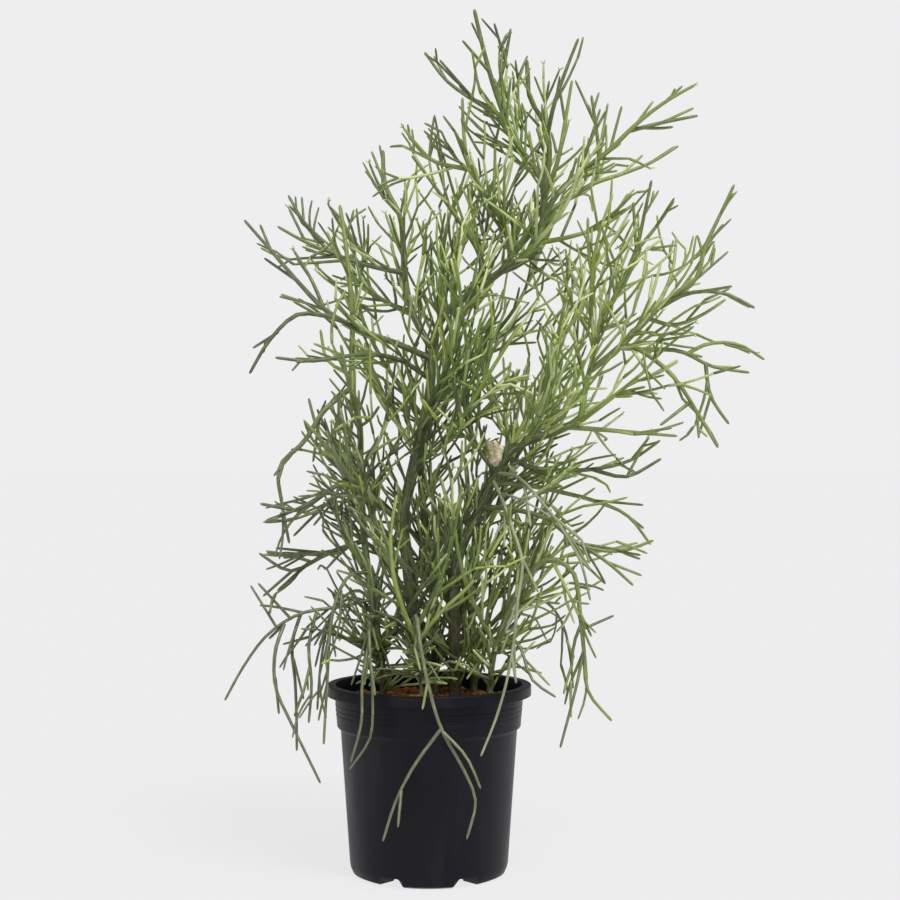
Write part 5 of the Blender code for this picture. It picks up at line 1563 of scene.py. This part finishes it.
def draw_leaves(twigs):
    """Tiny leaves at the ends of some of the upper twigs."""
    draw = random.Random(LEAF_SEED)
    whole = bmesh.new()
    for twig in twigs:
        tip = twig.line[-1]
        leafy = draw.random() < LEAFY_SHARE
        if not leafy or tip.z < LEAVES_FROM_HEIGHT or twig.habit == "droop":
            continue
        heading = (twig.line[-1] - twig.line[-2]).normalized()
        turn = draw.uniform(0.0, math.tau)
        for _ in range(draw.randint(*LEAF_COUNTS)):
            turn += GOLDEN_TURN
            length = draw.uniform(*LEAF_LENGTHS)
            out = side_heading(heading, turn, draw.uniform(*LEAF_ANGLES))
            place = Matrix.Translation(tip - heading * LEAF_SINK + out * length * LEAF_REACH)
            size = Matrix.Diagonal([length * share for share in LEAF_SHAPE]).to_4x4()
            bmesh.ops.create_icosphere(whole, subdivisions=1, radius=1.0,
                                       matrix=place @ facing(out) @ size)
    make_piece("tip_leaves", whole, make_leaf_green())


# Camera and light
CAMERA_PLACE = (VIEWER_X, -VIEWER_DISTANCE, VIEWER_HEIGHT)
CAMERA_LENS = 71.04
SENSOR_WIDTH = 36.0
FLOOR_REACH = 40.0
FLOOR_SIDES = 64
SURROUND_LIGHT = 0.27
BACKGROUND_LIGHT = 0.855
FLOOR_GLOW = 0.7715

# Each sun's energy, its softness in degrees and the way it shines
KEY_SUN = (2.9, 18.0, (-0.35, 0.50, -1.0))
FILL_SUN = (0.55, 40.0, (0.35, 0.85, -0.40))


def make_floor():
    """A floor out to the horizon: grey, with a glow that makes it as pale as the background."""
    bm = bmesh.new()
    bmesh.ops.create_circle(bm, cap_ends=True, radius=FLOOR_REACH, segments=FLOOR_SIDES)
    mesh = finished_mesh("floor", bm)
    floor = add_to_scene("floor", mesh)
    finish = Finish("floor_paint", 0.0)
    finish.rough(0.9)
    finish.coloured(FLOOR_GREY)
    finish.surface.inputs["Emission Color"].default_value = (1.0, 1.0, 1.0, 1.0)
    finish.surface.inputs["Emission Strength"].default_value = FLOOR_GLOW
    mesh.materials.append(finish.material)


def make_sun(name, energy, softness, heading):
    """A sun that shines along a heading and throws soft shadows."""
    light = bpy.data.lights.new(name, "SUN")
    light.energy = energy
    light.angle = math.radians(softness)
    lamp = add_to_scene(name, light)
    lamp.rotation_euler = Vector(heading).to_track_quat("-Z", "Y").to_euler()


def light_scene():
    """Soft studio light: a bright surround, a key from the front right and a fill from the front left."""
    world = bpy.data.worlds.new("studio")
    world.use_nodes = True
    tree = world.node_tree
    surround = tree.nodes["Background"]
    surround.inputs["Strength"].default_value = SURROUND_LIGHT
    backdrop = tree.nodes.new("ShaderNodeBackground")
    backdrop.inputs["Strength"].default_value = BACKGROUND_LIGHT
    for node in (surround, backdrop):
        node.inputs["Color"].default_value = (1.0, 1.0, 1.0, 1.0)
    either = tree.nodes.new("ShaderNodeMixShader")
    path = tree.nodes.new("ShaderNodeLightPath")
    tree.links.new(path.outputs["Is Camera Ray"], either.inputs["Fac"])
    tree.links.new(surround.outputs["Background"], either.inputs[1])
    tree.links.new(backdrop.outputs["Background"], either.inputs[2])
    tree.links.new(either.outputs["Shader"], tree.nodes["World Output"].inputs["Surface"])
    bpy.context.scene.world = world
    make_sun("key", *KEY_SUN)
    make_sun("fill", *FILL_SUN)
    bpy.context.scene.view_settings.view_transform = "Standard"


def place_camera():
    """The photograph's own view: level, looking along +Y."""
    lens = bpy.data.cameras.new("camera")
    lens.lens = CAMERA_LENS
    lens.sensor_width = SENSOR_WIDTH
    camera = add_to_scene("camera", lens)
    camera.location = CAMERA_PLACE
    camera.rotation_euler = (math.radians(90.0), 0.0, 0.0)
    bpy.context.scene.camera = camera


place_camera()
light_scene()
make_floor()
draw_pot()
draw_soil()
draw_chips()
draw_knot()
all_twigs = FinePlant().grow_on()
twig_skin = make_twig_skin()
for stem in LIMBS:
    draw_stem(stem, [twig for twig in all_twigs if twig.stem == stem])
draw_leaves(all_twigs)
